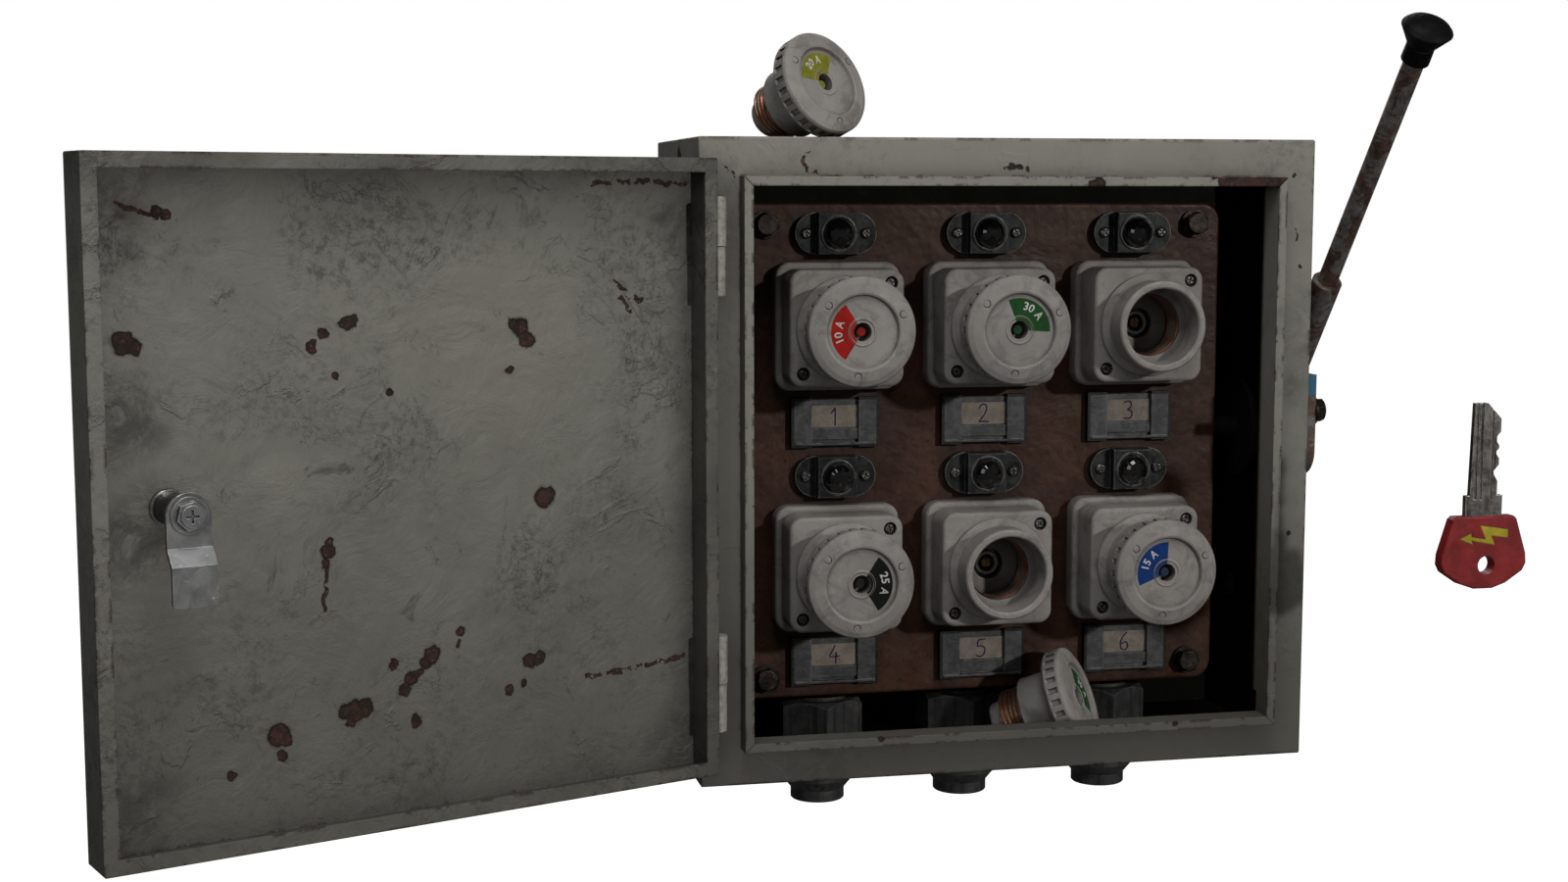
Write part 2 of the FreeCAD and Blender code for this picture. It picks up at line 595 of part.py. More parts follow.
def lying(heading, roll):
    facing = V(math.cos(math.radians(heading)) * math.cos(math.radians(lie)),
               math.sin(math.radians(heading)) * math.cos(math.radians(lie)), math.sin(math.radians(lie)))
    return Rot(V(0, 0, 1), facing) * Rot(V(0, 0, 1), roll)


fuse_nodes("on_top", (-86.3, -66.9, "box_h / 2 + %f" % lie_height), lying(-58.3, 40))
fuse_nodes("on_floor", (35.5, -86.5, "-box_h / 2 + sheet + %f" % lie_height), lying(-32, 10))


# ---------------------------------------------------------------- cable glands
def gland_body():
    low = "-gland_drop"
    return turned([("gland_bore", low), ("gland_tail_r - 0.5", low), ("gland_tail_r", low + " + 0.5"),
                   ("gland_tail_r", low + " + 5.5"), ("gland_r", low + " + 11"), ("gland_r", 0),
                   ("gland_tube_r", 0), ("gland_tube_r", "nut_top + 1.5"), ("gland_bore + 1", "nut_top + 1.5"),
                   ("gland_bore + 1", -1.5), ("gland_bore", -2.5)])


def gland_nut():
    height = "nut_top - sheet"
    prism = hexagon("nut_r * sqrt(3)", height, (0, 0, 0), "z", 30)
    bevel = turned([("gland_tube_r", 0), (26, 0), (26, height + " - 5"), ("nut_r - 3.4", height),
                    ("gland_tube_r", height)])
    return common(prism, bevel)


gland, gland_ring = gland_body(), gland_nut()
gland_spots = [("%d * gland_pitch" % k, "gland_y") for k in (-1, 0, 1)]
node("gland_bodies", group(*[moved(gland, (x, y, "-box_h / 2")) for x, y in gland_spots]))
node("gland_nuts", group(*[moved(gland_ring, (x, y, "-box_h / 2 + sheet")) for x, y in gland_spots]))


# ---------------------------------------------------------------- switch lever on the right-hand wall
def lever_plate():
    plate = box(("plate_thk", 106, 50), ("box_w / 2", -112, "pivot_z - 18"))
    plate = rounded(plate, 13.0, lambda e: along(V(1, 0, 0))(e) and e.CenterOfMass.z < 0)
    holes = [cylinder("bolt_r + 0.05", 12, ("box_w / 2 - 2", y, "pivot_z + 14"), "x") for y in PLATE_BOLTS]
    return cut(plate, cylinder("shaft_r + 0.08", 20, ("box_w / 2 - 5", "pivot_y", "pivot_z"), "x"), *holes)


def at_pivot(part):
    """Local Z runs up the lever, which tilts forward from upright."""
    return moved(part, ("lever_x", "pivot_y", "pivot_z"), Rot(V(1, 0, 0), VALUES["lever_tilt"]))


def lever_shaft():
    rod = cylinder("shaft_r", "lever_x - 105 + 9.5", (105, "pivot_y", "pivot_z"), "x")
    disc = rounded(cylinder(25.5, 3.5, ("box_w / 2 - 8.5", "pivot_y", "pivot_z"), "x"), 0.6, lambda e: True)
    boss = hexagon(27, 3.3, ("box_w / 2 - 5", "pivot_y", "pivot_z"), "x", 10)
    return fuse(rod, disc, boss)


def lever_socket():
    hub = rounded(cylinder(13, 14.8, (-7.0, 0, 0), "x"), 1.2, lambda e: e.CenterOfMass.x > 5)
    sleeve = cylinder("sleeve_r", "sleeve_len", (0, 0, 0))
    return cut(fuse(hub, sleeve), cylinder("rod_r", "sleeve_len", (0, 0, 10)),
               cylinder("shaft_r", 30, (-15, 0, 0), "x"))


def lever_knob():
    profile = [(5.4, 0), (6.3, 0), (6.5, 0.4), (6.4, 7.9), (6.0, 8.4), (6.6, 8.9), ("knob_r - 0.25", 16.5),
               ("knob_r", 16.9), ("knob_r - 0.3", 17.4), (9.8, 19.0), (7.4, 20.3), (4.4, 21.3), (0, 21.7),
               (0, 5.2), ("rod_r", 5.2), ("rod_r", 3.0), (5.4, 3.0)]
    return place(turned(profile), (0, 0, "knob_at"))


node("lever_plate", lever_plate())
node("lever_shaft", lever_shaft())
node("lever_socket", at_pivot(lever_socket()))
node("lever_rod", at_pivot(cylinder("rod_r", "rod_len - 10", (0, 0, 10))))
node("lever_knob", at_pivot(lever_knob()))


# ---------------------------------------------------------------- key: local x right, local y up
def key_bow():
    half = [(14.0, -0.3), (15.6, -1.6), (20.6, -17.5), (20.9, -22.0), (19.2, -25.4), (11.0, -30.8), (4.5, -33.0)]
    outline = [(-x, y) for x, y in half[::-1]] + half
    slab = extruded([("%.2f" % x, "%.2f" % y) for x, y in outline], "key_thk", V(0, 0, 1))
    slab = rounded(slab, 0.7, lambda e: not along(V(0, 0, 1))(e))
    hole = cylinder(4.1, 20, (1.2, -22.4, -5))
    pocket = block((18.1, 12, "blade_thk"), (0, 0, "key_thk / 2"))
    mark = [(11.6, -6.4), (11.6, -10.2), (3.6, -9.2), (5.4, -13.4), (-6.2, -11.1), (-5.4, -13.0),
            (-12.4, -10.2), (-6.4, -7.6), (-6.2, -9.5), (0.6, -10.5), (-2.4, -4.2)]
    recess = place(extruded([("%.2f" % x, "%.2f" % y) for x, y in mark], 2, V(0, 0, 1)), (0, 0, "key_thk - 0.8"))
    return cut(slab, hole, pocket, recess)


def key_blade():
    bits = [(9.0, -5.9), (9.0, 8.9), (6.3, 8.9), (6.3, 15.2), (4.4, 18.4), (4.4, 19.8),
            (6.8, 22.6), (6.8, 25.4), (5.4, 27.4), (5.4, 28.6), (6.7, 30.0), (6.7, 31.2), (5.5, 33.0),
            (5.5, 35.4), (7.3, 37.4), (7.3, 43.2), (0.6, 50.3), (-5.6, 50.3), (-6.9, 8.9), (-9.0, 8.9), (-9.0, -5.9)]
    blade = extruded([("%.2f" % x, "%.2f" % y) for x, y in bits], "blade_thk", V(0, 0, 1))
    grooves = [block((width, 46, 0.9), (x, "30", height)) for x, width in ((-4.4, 1.3), (-1.9, 1.3), (3.4, 0.8))
               for height in (0, "blade_thk")]
    return place(cut(blade, *grooves), (0, 0, "(key_thk - blade_thk) / 2"))


for name, part in (("key_bow", key_bow()), ("key_blade", key_blade())):
    node(name, moved(part, ("key_x", "key_y + key_thk", "key_z"), FACE))

# ---------------------------------------------------------------- check and export
doc.recompute()
os.makedirs("parts", exist_ok=True)
for part in doc.Objects:
    if "Invalid" in part.State or "Error" in part.State:
        raise RuntimeError("%s: %s" % (part.Name, part.State))
for part in nodes:
    shape = part.Shape
    if shape.isNull() or not shape.isValid() or not shape.Solids:
        raise RuntimeError("bad shape: " + part.Label)
    shape.exportStep("parts/%s.step" % part.Label)
print(len(nodes), "nodes")
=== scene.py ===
"""Looks of the fuse box panel: a finish for every CAD node, dials, card numbers, lights and camera."""
import json
import math

import bmesh
import bpy
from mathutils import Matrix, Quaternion, Vector

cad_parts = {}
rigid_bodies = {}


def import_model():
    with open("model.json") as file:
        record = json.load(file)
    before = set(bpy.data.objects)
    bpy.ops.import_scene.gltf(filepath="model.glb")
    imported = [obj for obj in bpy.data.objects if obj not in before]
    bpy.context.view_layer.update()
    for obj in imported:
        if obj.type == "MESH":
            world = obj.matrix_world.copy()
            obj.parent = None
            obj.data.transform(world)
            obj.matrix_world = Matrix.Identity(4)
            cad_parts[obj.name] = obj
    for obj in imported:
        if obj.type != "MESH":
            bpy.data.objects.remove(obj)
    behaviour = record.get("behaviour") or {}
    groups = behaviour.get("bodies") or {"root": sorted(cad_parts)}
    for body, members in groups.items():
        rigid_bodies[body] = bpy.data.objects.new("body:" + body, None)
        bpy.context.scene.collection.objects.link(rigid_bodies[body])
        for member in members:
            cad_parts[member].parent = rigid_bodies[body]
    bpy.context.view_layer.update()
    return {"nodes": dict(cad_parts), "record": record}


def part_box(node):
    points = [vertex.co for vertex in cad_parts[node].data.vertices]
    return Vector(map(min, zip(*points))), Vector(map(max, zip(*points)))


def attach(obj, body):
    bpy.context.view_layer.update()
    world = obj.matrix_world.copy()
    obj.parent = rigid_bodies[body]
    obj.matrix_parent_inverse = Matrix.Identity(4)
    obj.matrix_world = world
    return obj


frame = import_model()
NODES = frame["nodes"]
MM = 0.001
HINGE = (-0.14334, -0.1228, 0.0)          # the door's hinge axis, parallel to Z
DOOR_ANGLE = math.radians(158.87)         # how far the door stands open
DOOR_SKIN = -137.2                        # the shut door's inner face along Y, in millimetres
FRONT = -115.0                            # the cabinet's front flange along Y, in millimetres
LABEL_COLUMNS, LABEL_ROWS = (-0.07466, 0.0008, 0.07626), (0.0142, -0.1032)    # middles of the label frames
SHEEN = "Specular IOR Level"


# ---------------------------------------------------------------- node-tree helper
class Shade:
    """A material under construction. Every helper returns an output socket."""

    def __init__(self, name):
        self.mat = bpy.data.materials.new(name)
        self.mat.use_nodes = True
        self.tree = self.mat.node_tree
        self.tree.nodes.clear()
        self.place = self.add("ShaderNodeTexCoord").outputs["Object"]

    def add(self, kind, ins=None, **settings):
        made = self.tree.nodes.new(kind)
        for key, value in settings.items():
            setattr(made, key, value)
        for key, value in (ins or {}).items():
            if isinstance(value, bpy.types.NodeSocket):
                self.tree.links.new(value, made.inputs[key])
            elif value is not None:
                made.inputs[key].default_value = value
        return made

    def vector(self, operation, a, b, out=0):
        """A vector operation; b is a number for SCALE and a vector for the rest."""
        ins = {0: a, "Scale" if operation == "SCALE" else 1: b}
        return self.add("ShaderNodeVectorMath", ins, operation=operation).outputs[out]

    def turned(self, centre, angle):
        """The place, turned about a vertical axis."""
        return self.add("ShaderNodeVectorRotate", {"Vector": self.place, "Center": centre, "Angle": angle},
                        rotation_type="Z_AXIS").outputs[0]

    def stretched(self, x, y, z):
        return self.vector("MULTIPLY", self.place, (x, y, z))

    def noise(self, scale, detail=6, rough=0.6, warp=0.0, where=None):
        ins = {"Vector": where or self.place, "Scale": scale, "Detail": detail, "Roughness": rough,
               "Distortion": warp}
        return self.add("ShaderNodeTexNoise", ins).outputs["Fac"]

    def ridges(self, scale, where=None):
        """Sharp-crested folds, from 0 to about 1."""
        ins = {"Vector": where or self.place, "Scale": scale, "Detail": 5.0, "Roughness": 0.5,
               "Distortion": 0.8}
        made = self.add("ShaderNodeTexNoise", ins, noise_type="RIDGED_MULTIFRACTAL")
        return self.step(made.outputs["Fac"], 0.4, 2.0)

    def value(self, amount):
        made = self.add("ShaderNodeValue")
        made.outputs[0].default_value = amount
        return made.outputs[0]

    def cells(self, scale, feature="F1", where=None, out="Distance"):
        return self.add("ShaderNodeTexVoronoi", {"Vector": where or self.place, "Scale": scale},
                        feature=feature).outputs[out]

    def calc(self, op, a, b=None):
        return self.add("ShaderNodeMath", {0: a, 1: b}, operation=op).outputs[0]

    def both(self, *masks):
        out = masks[0]
        for more in masks[1:]:
            out = self.calc("MULTIPLY", out, more)
        return out

    def either(self, *masks):
        out = masks[0]
        for more in masks[1:]:
            out = self.calc("MAXIMUM", out, more)
        return out

    def step(self, value, low, high, a=0.0, b=1.0):
        """a below low, b above high, with a smooth change between."""
        if low > high:
            low, high, a, b = high, low, b, a
        return self.add("ShaderNodeMapRange", {"Value": value, "From Min": low, "From Max": high, "To Min": a,
                                               "To Max": b}, interpolation_type="SMOOTHSTEP").outputs[0]

    def xyz(self, where=None):
        return self.add("ShaderNodeSeparateXYZ", {0: where or self.place}).outputs

    def mix(self, factor, a, b):
        made = self.add("ShaderNodeMix", data_type="RGBA")
        for index, value in ((0, factor), (6, a), (7, b)):
            if isinstance(value, bpy.types.NodeSocket):
                self.tree.links.new(value, made.inputs[index])
            else:
                made.inputs[index].default_value = value if index == 0 else tuple(value) + (1.0,)
        return made.outputs[2]

    def warped(self, amount, scale, where=None):
        """The place, pushed about by noise, for ragged outlines."""
        where = where or self.place
        ins = {"Vector": where, "Scale": scale, "Detail": 5.0}
        push = self.add("ShaderNodeTexNoise", ins).outputs["Color"]
        push = self.vector("SCALE", self.vector("SUBTRACT", push, (0.5, 0.5, 0.5)), amount)
        return self.vector("ADD", where, push)

    def spots(self, where, points):
        """Distance to the nearest spot over its radius; points are (x, y, z, radius) in millimetres."""
        out = None
        for x, y, z, radius in points:
            away = self.vector("DISTANCE", where, (x * MM, y * MM, z * MM), "Value")
            away = self.calc("DIVIDE", away, radius * MM)
            out = away if out is None else self.calc("MINIMUM", out, away)
        return out

    def streak(self, where, a, b, width):
        """1 along the line from a to b, in millimetres, fading at width."""
        start, along = Vector(a) * MM, (Vector(b) - Vector(a)) * MM
        rel = self.vector("SUBTRACT", where, tuple(start))
        share = self.vector("DOT_PRODUCT", rel, tuple(along / along.length_squared), "Value")
        foot = self.vector("SCALE", tuple(along), self.add("ShaderNodeClamp", {0: share}).outputs[0])
        away = self.vector("DISTANCE", rel, foot, "Value")
        return self.step(away, width * MM, width * 0.4 * MM)

    def edges(self, radius, low=0.02, high=0.12):
        """1 on outside edges, from how far a rounded normal leaves the face's own."""
        soft = self.add("ShaderNodeBevel", {"Radius": radius}, samples=4).outputs[0]
        own = self.add("ShaderNodeNewGeometry").outputs["Normal"]
        alike = self.vector("DOT_PRODUCT", soft, own, "Value")
        found = self.step(self.calc("SUBTRACT", 1.0, alike), low, high)
        return self.both(found, self.step(self.crevice(radius * 2.5), 0.75, 0.45))

    def crevice(self, distance):
        """0 in the open, 1 deep in a corner or gap."""
        seen = self.add("ShaderNodeAmbientOcclusion", {"Distance": distance}, samples=4).outputs["AO"]
        return self.calc("SUBTRACT", 1.0, seen)

    def finish(self, colour, rough=0.5, metal=0.0, heights=(), round_edges=0.0005, **more):
        """heights are (value, depth in millimetres, strength), each added to the surface in turn."""
        normal = None
        if round_edges:
            normal = self.add("ShaderNodeBevel", {"Radius": round_edges}, samples=4).outputs[0]
        for value, depth, strength in heights:
            ins = {"Height": value, "Distance": depth * MM, "Strength": strength, "Normal": normal}
            normal = self.add("ShaderNodeBump", ins).outputs[0]
        ins = {"Base Color": colour if isinstance(colour, bpy.types.NodeSocket) else tuple(colour) + (1.0,),
               "Roughness": rough, "Metallic": metal, "Normal": normal}
        ins.update(more)
        shader = self.add("ShaderNodeBsdfPrincipled", ins).outputs[0]
        out = self.add("ShaderNodeOutputMaterial")
        self.tree.links.new(shader, out.inputs["Surface"])
        return self.mat


# ---------------------------------------------------------------- painted steel
RUST, RUST_DARK, GRIME_AND_SHADE = (0.058, 0.023, 0.016), (0.014, 0.008, 0.006), (0.060, 0.059, 0.052)

# Wear, in millimetres. The door's is on its inner face, in the shut door's place: chips and smudges are
# x, z, radius, and scratches run from one x, z to another. The cabinet's chips are x, y, z, radius, and its
# creases run from one x, z to another on the front flange.
DOOR_CHIPS = [
    (119.8, 66.0, 3.9), (116.0, 64.0, 3.0), (121.4, 68.6, 2.2), (27.5, 70.8, 2.8), (24.5, 71.8, 2.0),
    (37.4, 66.7, 2.0), (43.0, 61.6, 2.1), (41.8, 63.9, 1.5), (32.3, 49.1, 1.4), (9.0, 41.4, 1.5),
    (-51.9, 66.9, 3.6), (-55.2, 61.3, 3.4), (-49.0, 68.5, 2.4), (-47.5, 48.9, 1.7), (-62.8, -8.3, 3.9),
    (-65.9, -6.4, 2.2), (37.4, -23.7, 2.8), (36.6, -19.4, 1.8), (38.6, -28.6, 1.9), (-8.3, -72.5, 3.4),
    (-4.8, -75.8, 2.4), (1.8, -82.0, 2.9), (4.4, -86.6, 2.7), (-1.6, -80.0, 2.2), (9.7, -74.7, 2.2),
    (-22.3, -64.3, 2.0), (-21.0, -69.4, 1.2), (-0.5, -100.3, 2.6), (27.4, -92.7, 4.0),
    (23.2, -91.6, 3.3), (31.4, -92.4, 3.1), (29.0, -97.2, 2.2), (61.0, -98.6, 4.2), (57.6, -100.6, 2.5),
    (59.6, -107.1, 2.0), (81.4, -111.8, 1.8), (-55.1, -81.1, 2.8), (-59.3, -80.0, 2.6),
    (-44.3, -92.5, 1.9), (-51.6, -90.3, 1.5), (104.8, 117.0, 2.0), (101.0, 116.0, 1.9),
]
DOOR_SCRATCHES = [
    ((120.7, 120.0), (112.0, 117.0)), ((112.0, 117.0), (98.6, 114.2)), ((-88.7, 128.7), (-110.0, 129.6)),
    ((-110.0, 129.6), (-136.0, 128.6)), ((-83.8, -91.2), (-108.0, -90.6)),
    ((-108.0, -90.6), (-134.0, -87.5)), ((-99.1, 85.5), (-106.0, 79.0)),
    ((-106.0, 79.0), (-112.5, 76.4)), ((-102.0, 78.0), (-107.0, 72.0)), ((38.0, -29.0), (40.0, -48.0)),
]
DOOR_SMUDGES = [
    (118.0, -10.0, 30.0), (122.0, 34.0, 24.0), (128.0, 112.0, 26.0), (122.0, -128.0, 34.0),
    (-134.0, 110.0, 24.0), (-128.0, -128.0, 26.0),
]
BOX_CHIPS = [
    (-2.0, -115.0, 136.8, 2.0), (1.6, -115.0, 136.2, 1.5), (6.0, -115.0, 136.0, 1.2),
    (143.7, -115.0, 89.1, 1.2), (36.8, -126.2, 129.0, 3.2), (34.0, -126.2, 128.2, 2.4),
    (139.5, -115.0, 133.0, 1.0), (-144.3, -115.0, -89.2, 2.6), (80.0, -126.2, -128.9, 1.6),
    (140.6, -115.0, -40.0, 1.3), (-66.0, -126.2, -128.0, 1.8), (150.0, -70.0, 70.0, 4.0),
    (150.0, -30.0, -80.0, 5.0), (150.0, -62.0, -86.0, 2.6), (-150.0, -64.0, 141.0, 5.0),
    (-150.0, -70.0, 132.0, 3.4), (-150.0, -40.0, 20.0, 4.4), (-60.0, -40.0, 150.0, 5.0),
    (60.0, -50.0, 150.0, 3.5), (-20.0, -20.0, 150.0, 3.0),
]
BOX_CREASES = [
    ((-96.8, 145.3), (-101.5, 139.0)), ((-101.5, 139.0), (-99.0, 134.0)),
    ((-99.0, 134.0), (-84.0, 131.5)), ((-140.5, 139.0), (-133.5, 132.0)),
    ((139.8, 109.0), (142.0, 103.0)), ((-12.0, 135.0), (2.0, 137.2)),
]


def enamel(name, door=False):
    """Old grey-green enamel: orange peel, dents, grime, chips down to brown rust, and painted shade."""
    s = Shade(name)
    where = s.turned(HINGE, DOOR_ANGLE) if door else s.place
    ragged = s.warped(0.0052, 210.0, where)
    x, y, z = s.xyz(where)
    inner = s.step(y, -0.1381, -0.1378) if door else 0.0
    grimy = s.step(inner, 0.0, 1.0, 0.55, 1.0) if door else 0.42

    # relief: shallow dents, wrinkles in patches and fine orange peel
    dents = s.noise(15.0, 3, 0.5, 1.2, where)
    folds = s.noise(40.0, 8, 0.70, 0.8, where)
    wrinkled = s.both(s.ridges(34.0, where), s.step(s.noise(11.0, 3, where=where), 0.47, 0.64))
    peel = s.noise(430.0, 2, 0.5, 0.0, where)

    # chips
    chance = s.add("ShaderNodeSeparateColor", {0: s.cells(19.0, where=ragged, out="Color")}).outputs[0]
    outline = s.calc("ADD", s.cells(19.0, where=ragged), s.noise(130.0, 3, where=where))
    scattered = s.both(s.step(chance, 0.92, 0.93), s.step(outline, 0.60, 0.55))
    if door:
        away = s.spots(ragged, [(cx, DOOR_SKIN, cz, r * 1.16) for cx, cz, r in DOOR_CHIPS])
        away = s.calc("ADD", away, s.step(inner, 1.0, 0.0, 0.0, 9.0))
        scattered = s.both(scattered, s.step(inner, 1.0, 0.0))
        scored = s.either(*[s.streak(ragged, (a[0], DOOR_SKIN, a[1]), (b[0], DOOR_SKIN, b[1]), 1.6)
                            for a, b in DOOR_SCRATCHES])
        scored = s.both(scored, inner, s.step(s.noise(230.0, 3, where=where), 0.42, 0.49))
        smudge = s.spots(s.warped(0.03, 24.0, where), [(cx, DOOR_SKIN, cz, r) for cx, cz, r in DOOR_SMUDGES])
        smudge = s.both(inner, s.step(smudge, 1.05, 0.25))
    else:
        away = s.spots(ragged, BOX_CHIPS)
        scored = s.either(*[s.streak(ragged, (a[0], FRONT, a[1]), (b[0], FRONT, b[1]), 1.1)
                            for a, b in BOX_CREASES])
        scored = s.both(scored, s.step(s.noise(230.0, 3, where=where), 0.46, 0.55))
        smudge = s.step(s.noise(8.0, 4, where=where), 0.56, 0.72)
    rim = s.step(away, 1.30, 1.0)
    chipped = s.either(s.step(away, 1.02, 0.95), scattered, s.step(scored, 0.35, 0.6))
    if not door:
        chipped = s.either(chipped, lip_rust(s, x, y, z))
    worn = s.both(s.edges(0.0022, 0.004, 0.03), s.step(s.noise(90.0, 8, 0.74, where=where), 0.53, 0.56))
    bare = s.either(chipped, worn)

    # paint, grime, rust and painted shade
    # Painted shade: the door's paint is made darker than the cabinet's.
    shade_tone = 0.76 if door else 0.94
    paint = s.mix(s.noise(9.0, 3, where=where), [c * shade_tone for c in (0.250, 0.242, 0.208)],
                  [c * shade_tone for c in (0.300, 0.291, 0.253)])
    cloud = s.step(s.noise(14.0, 9, 0.70, 0.5, where), 0.44, 0.68)
    speck = s.step(s.noise(190.0, 10, 0.82, 0.3, where), 0.47, 0.58)
    paint = s.mix(s.both(cloud, speck, grimy, s.value(0.90)), paint, (0.072, 0.071, 0.063))
    veins = s.calc("ABSOLUTE", s.calc("SUBTRACT", s.noise(34.0, 9, 0.70, 0.9, where), 0.5))
    veins = s.both(s.step(veins, 0.008, 0.001), s.step(s.noise(26.0, 4, where=where), 0.50, 0.64))
    paint = s.mix(s.both(veins, grimy, s.value(0.35)), paint, (0.070, 0.068, 0.060))
    dulled = s.step(s.noise(6.5, 4, where=where), 0.42, 0.68)
    paint = s.mix(s.both(dulled, grimy, s.value(0.40)), paint, (0.130, 0.128, 0.116))
    stained = s.step(s.noise(42.0, 9, 0.74, 1.2, where), 0.60, 0.68)
    paint = s.mix(s.both(stained, grimy, s.value(0.70)), paint, GRIME_AND_SHADE)
    smeared = s.step(s.noise(48.0, 10, 0.78, 0.6, where), 0.40, 0.58, 0.10, 0.85)
    paint = s.mix(s.both(smudge, smeared), paint, (0.050, 0.049, 0.044))
    paint = s.mix(s.both(s.step(wrinkled, 0.55, 0.9), grimy, s.value(0.35)), paint, GRIME_AND_SHADE)
    # Painted shade: darker in corners and gaps.
    paint = s.mix(s.both(s.step(s.crevice(0.018), 0.10, 0.70), s.value(0.90)), paint, (0.030, 0.029, 0.026))
    # Painted shade: darker towards the bottom.
    low = s.step(s.calc("ADD", z, s.step(s.noise(20.0, 5, where=where), 0.3, 0.7, -0.02, 0.02)), 0.09, -0.17)
    paint = s.mix(s.both(low, s.value(0.62 if door else 0.80)), paint, (0.058, 0.056, 0.049))
    if door:
        # Painted shadow of the door's rim: darker along the top and the hinge side of its inner face.
        shade = s.both(inner, s.either(s.step(z, 0.114, 0.137), s.step(x, -0.120, -0.139)),
                       s.step(s.noise(22.0, 5, where=where), 0.30, 0.70, 0.45, 0.95))
        paint = s.mix(s.both(shade, s.value(0.75)), paint, (0.045, 0.044, 0.039))
    else:
        # Painted shade: the inside of the cabinet is painted near black.
        inside_shade = inside_shade_mask(s, x, y, z)
        paint = s.mix(inside_shade, paint, (0.0045, 0.0045, 0.0040))
        paint = s.mix(mitre_mask(s, x, y, z), paint, (0.060, 0.057, 0.050))
    paint = s.mix(s.both(rim, s.value(0.65)), paint, (0.060, 0.055, 0.048))
    rust = s.mix(s.step(s.noise(260.0, 7, 0.74, where=where), 0.44, 0.60), (0.020, 0.013, 0.010), RUST)
    rust = s.mix(s.step(s.noise(430.0, 3, where=where), 0.58, 0.72), rust, (0.125, 0.062, 0.045))
    rust = s.mix(s.both(rim, s.step(away, 0.60, 0.95)), rust, RUST_DARK)
    colour = s.mix(bare, paint, rust)

    rough = s.step(s.noise(70.0, 5, where=where), 0.3, 0.7, 0.44, 0.60)
    rough = s.calc("ADD", rough, s.step(bare, 0.0, 1.0, 0.0, 0.25))
    coat = s.calc("SUBTRACT", 1.0, s.step(bare, 0.0, 1.0))
    pits = s.noise(330.0, 5, where=where)
    strong = s.step(inner, 0.0, 1.0, 0.22, 0.78) if door else 0.20
    raised = s.both(s.step(s.noise(30.0, 6, 0.60, 0.9, where), 0.56, 0.61),
                    s.step(s.noise(13.0, 3, where=where), 0.46, 0.56))
    heights = [(dents, 4.0, s.calc("MULTIPLY", strong, 0.7)), (folds, 1.6, strong), (wrinkled, 1.0, strong),
               (veins, 0.12, strong), (raised, 0.5, strong), (peel, 0.11, 0.30), (coat, 0.45, 0.9),
               (pits, 0.25, s.step(bare, 0.0, 1.0, 0.0, 0.8))]
    sheen = 0.28 if door else s.step(inside_shade, 0.0, 1.0, 0.28, 0.03)
    return s.finish(colour, rough, heights=heights, round_edges=0.0008, **{SHEEN: sheen})


def inside_shade_mask(s, x, y, z):
    """1 on the cabinet's inner walls, back and floor, which are painted near black as painted shade."""
    wall = 0.1485
    within = [s.step(s.calc("ABSOLUTE", value), wall + 0.0007, wall + 0.0001) for value in (x, z)]
    deep = s.both(s.step(y, -0.1128, -0.1085), s.step(y, -0.0004, -0.0008))
    return s.both(*within, deep)


def mitre_mask(s, x, y, z):
    """Thin lines where the lip's folded strips meet at 45 degrees."""
    aside, up = s.calc("ABSOLUTE", x), s.calc("ABSOLUTE", z)
    gap = s.calc("ABSOLUTE", s.calc("SUBTRACT", aside, s.calc("SUBTRACT", up, 0.001)))
    return s.both(s.step(gap, 0.0006, 0.0003), s.step(y, -0.1240, -0.1255), s.step(aside, 0.125, 0.126))


def lip_rust(s, x, y, z):
    """The stretch of bare rust at the right end of the lip's top strip."""
    ragged_x = s.calc("ADD", x, s.step(s.noise(150.0, 5), 0.3, 0.7, -0.006, 0.006))
    return s.both(s.step(ragged_x, 0.0935, 0.0945), s.step(y, -0.1235, -0.1245), s.step(z, 0.1268, 0.1272),
                  s.step(s.calc("SUBTRACT", z, s.calc("ABSOLUTE", x)), 0.0003, 0.0009))


def hinge_paint():
    """Paler paint on the hinges, rusty in spots and on its edges."""
    s = Shade("hinge_paint")
    colour = s.mix(s.step(s.noise(300.0, 6, 0.7), 0.42, 0.60), (0.360, 0.350, 0.305), (0.230, 0.223, 0.192))
    colour = s.mix(s.either(s.both(s.edges(0.0009), s.step(s.noise(500.0, 4), 0.45, 0.55)),
                            s.step(s.noise(170.0, 6, 0.7), 0.62, 0.68)), colour, RUST)
    # Painted shade in the hinge's corners.
    colour = s.mix(s.step(s.crevice(0.004), 0.35, 0.9), colour, GRIME_AND_SHADE)
    return s.finish(colour, 0.5, heights=[(s.noise(420.0, 4), 0.15, 0.5)], round_edges=0.0004)


# ---------------------------------------------------------------- panel, ceramic and copper
def board():
    """Red-brown hammered insulating board."""
    s = Shade("panel_board")
    leather = s.cells(230.0, "SMOOTH_F1", s.warped(0.004, 120.0))
    broad = s.noise(26.0, 5, 0.6, 1.2)
    brown = s.step(s.noise(38.0, 7, 0.68, 0.7), 0.36, 0.66)
    colour = s.mix(brown, (0.034, 0.0130, 0.0072), (0.064, 0.0275, 0.0160))
    colour = s.mix(s.step(s.noise(420.0, 5, 0.7), 0.50, 0.72), colour, (0.020, 0.010, 0.007))
    colour = s.mix(s.both(s.edges(0.0012, 0.015, 0.09), s.step(s.noise(110.0, 6, 0.7), 0.38, 0.58)), colour,
                   (0.150, 0.105, 0.080))
    # Painted shade in corners and around the parts on the board.
    colour = s.mix(s.both(s.step(s.crevice(0.007), 0.30, 0.85), s.value(0.8)), colour, (0.016, 0.010, 0.008))
    rough = s.step(s.noise(48.0, 6, 0.65), 0.32, 0.68, 0.34, 0.56)
    heights = [(leather, 0.45, 0.40), (broad, 2.2, 0.35), (s.noise(600.0, 3), 0.08, 0.4)]
    return s.finish(colour, rough, heights=heights, round_edges=0.0012, **{SHEEN: 0.22})


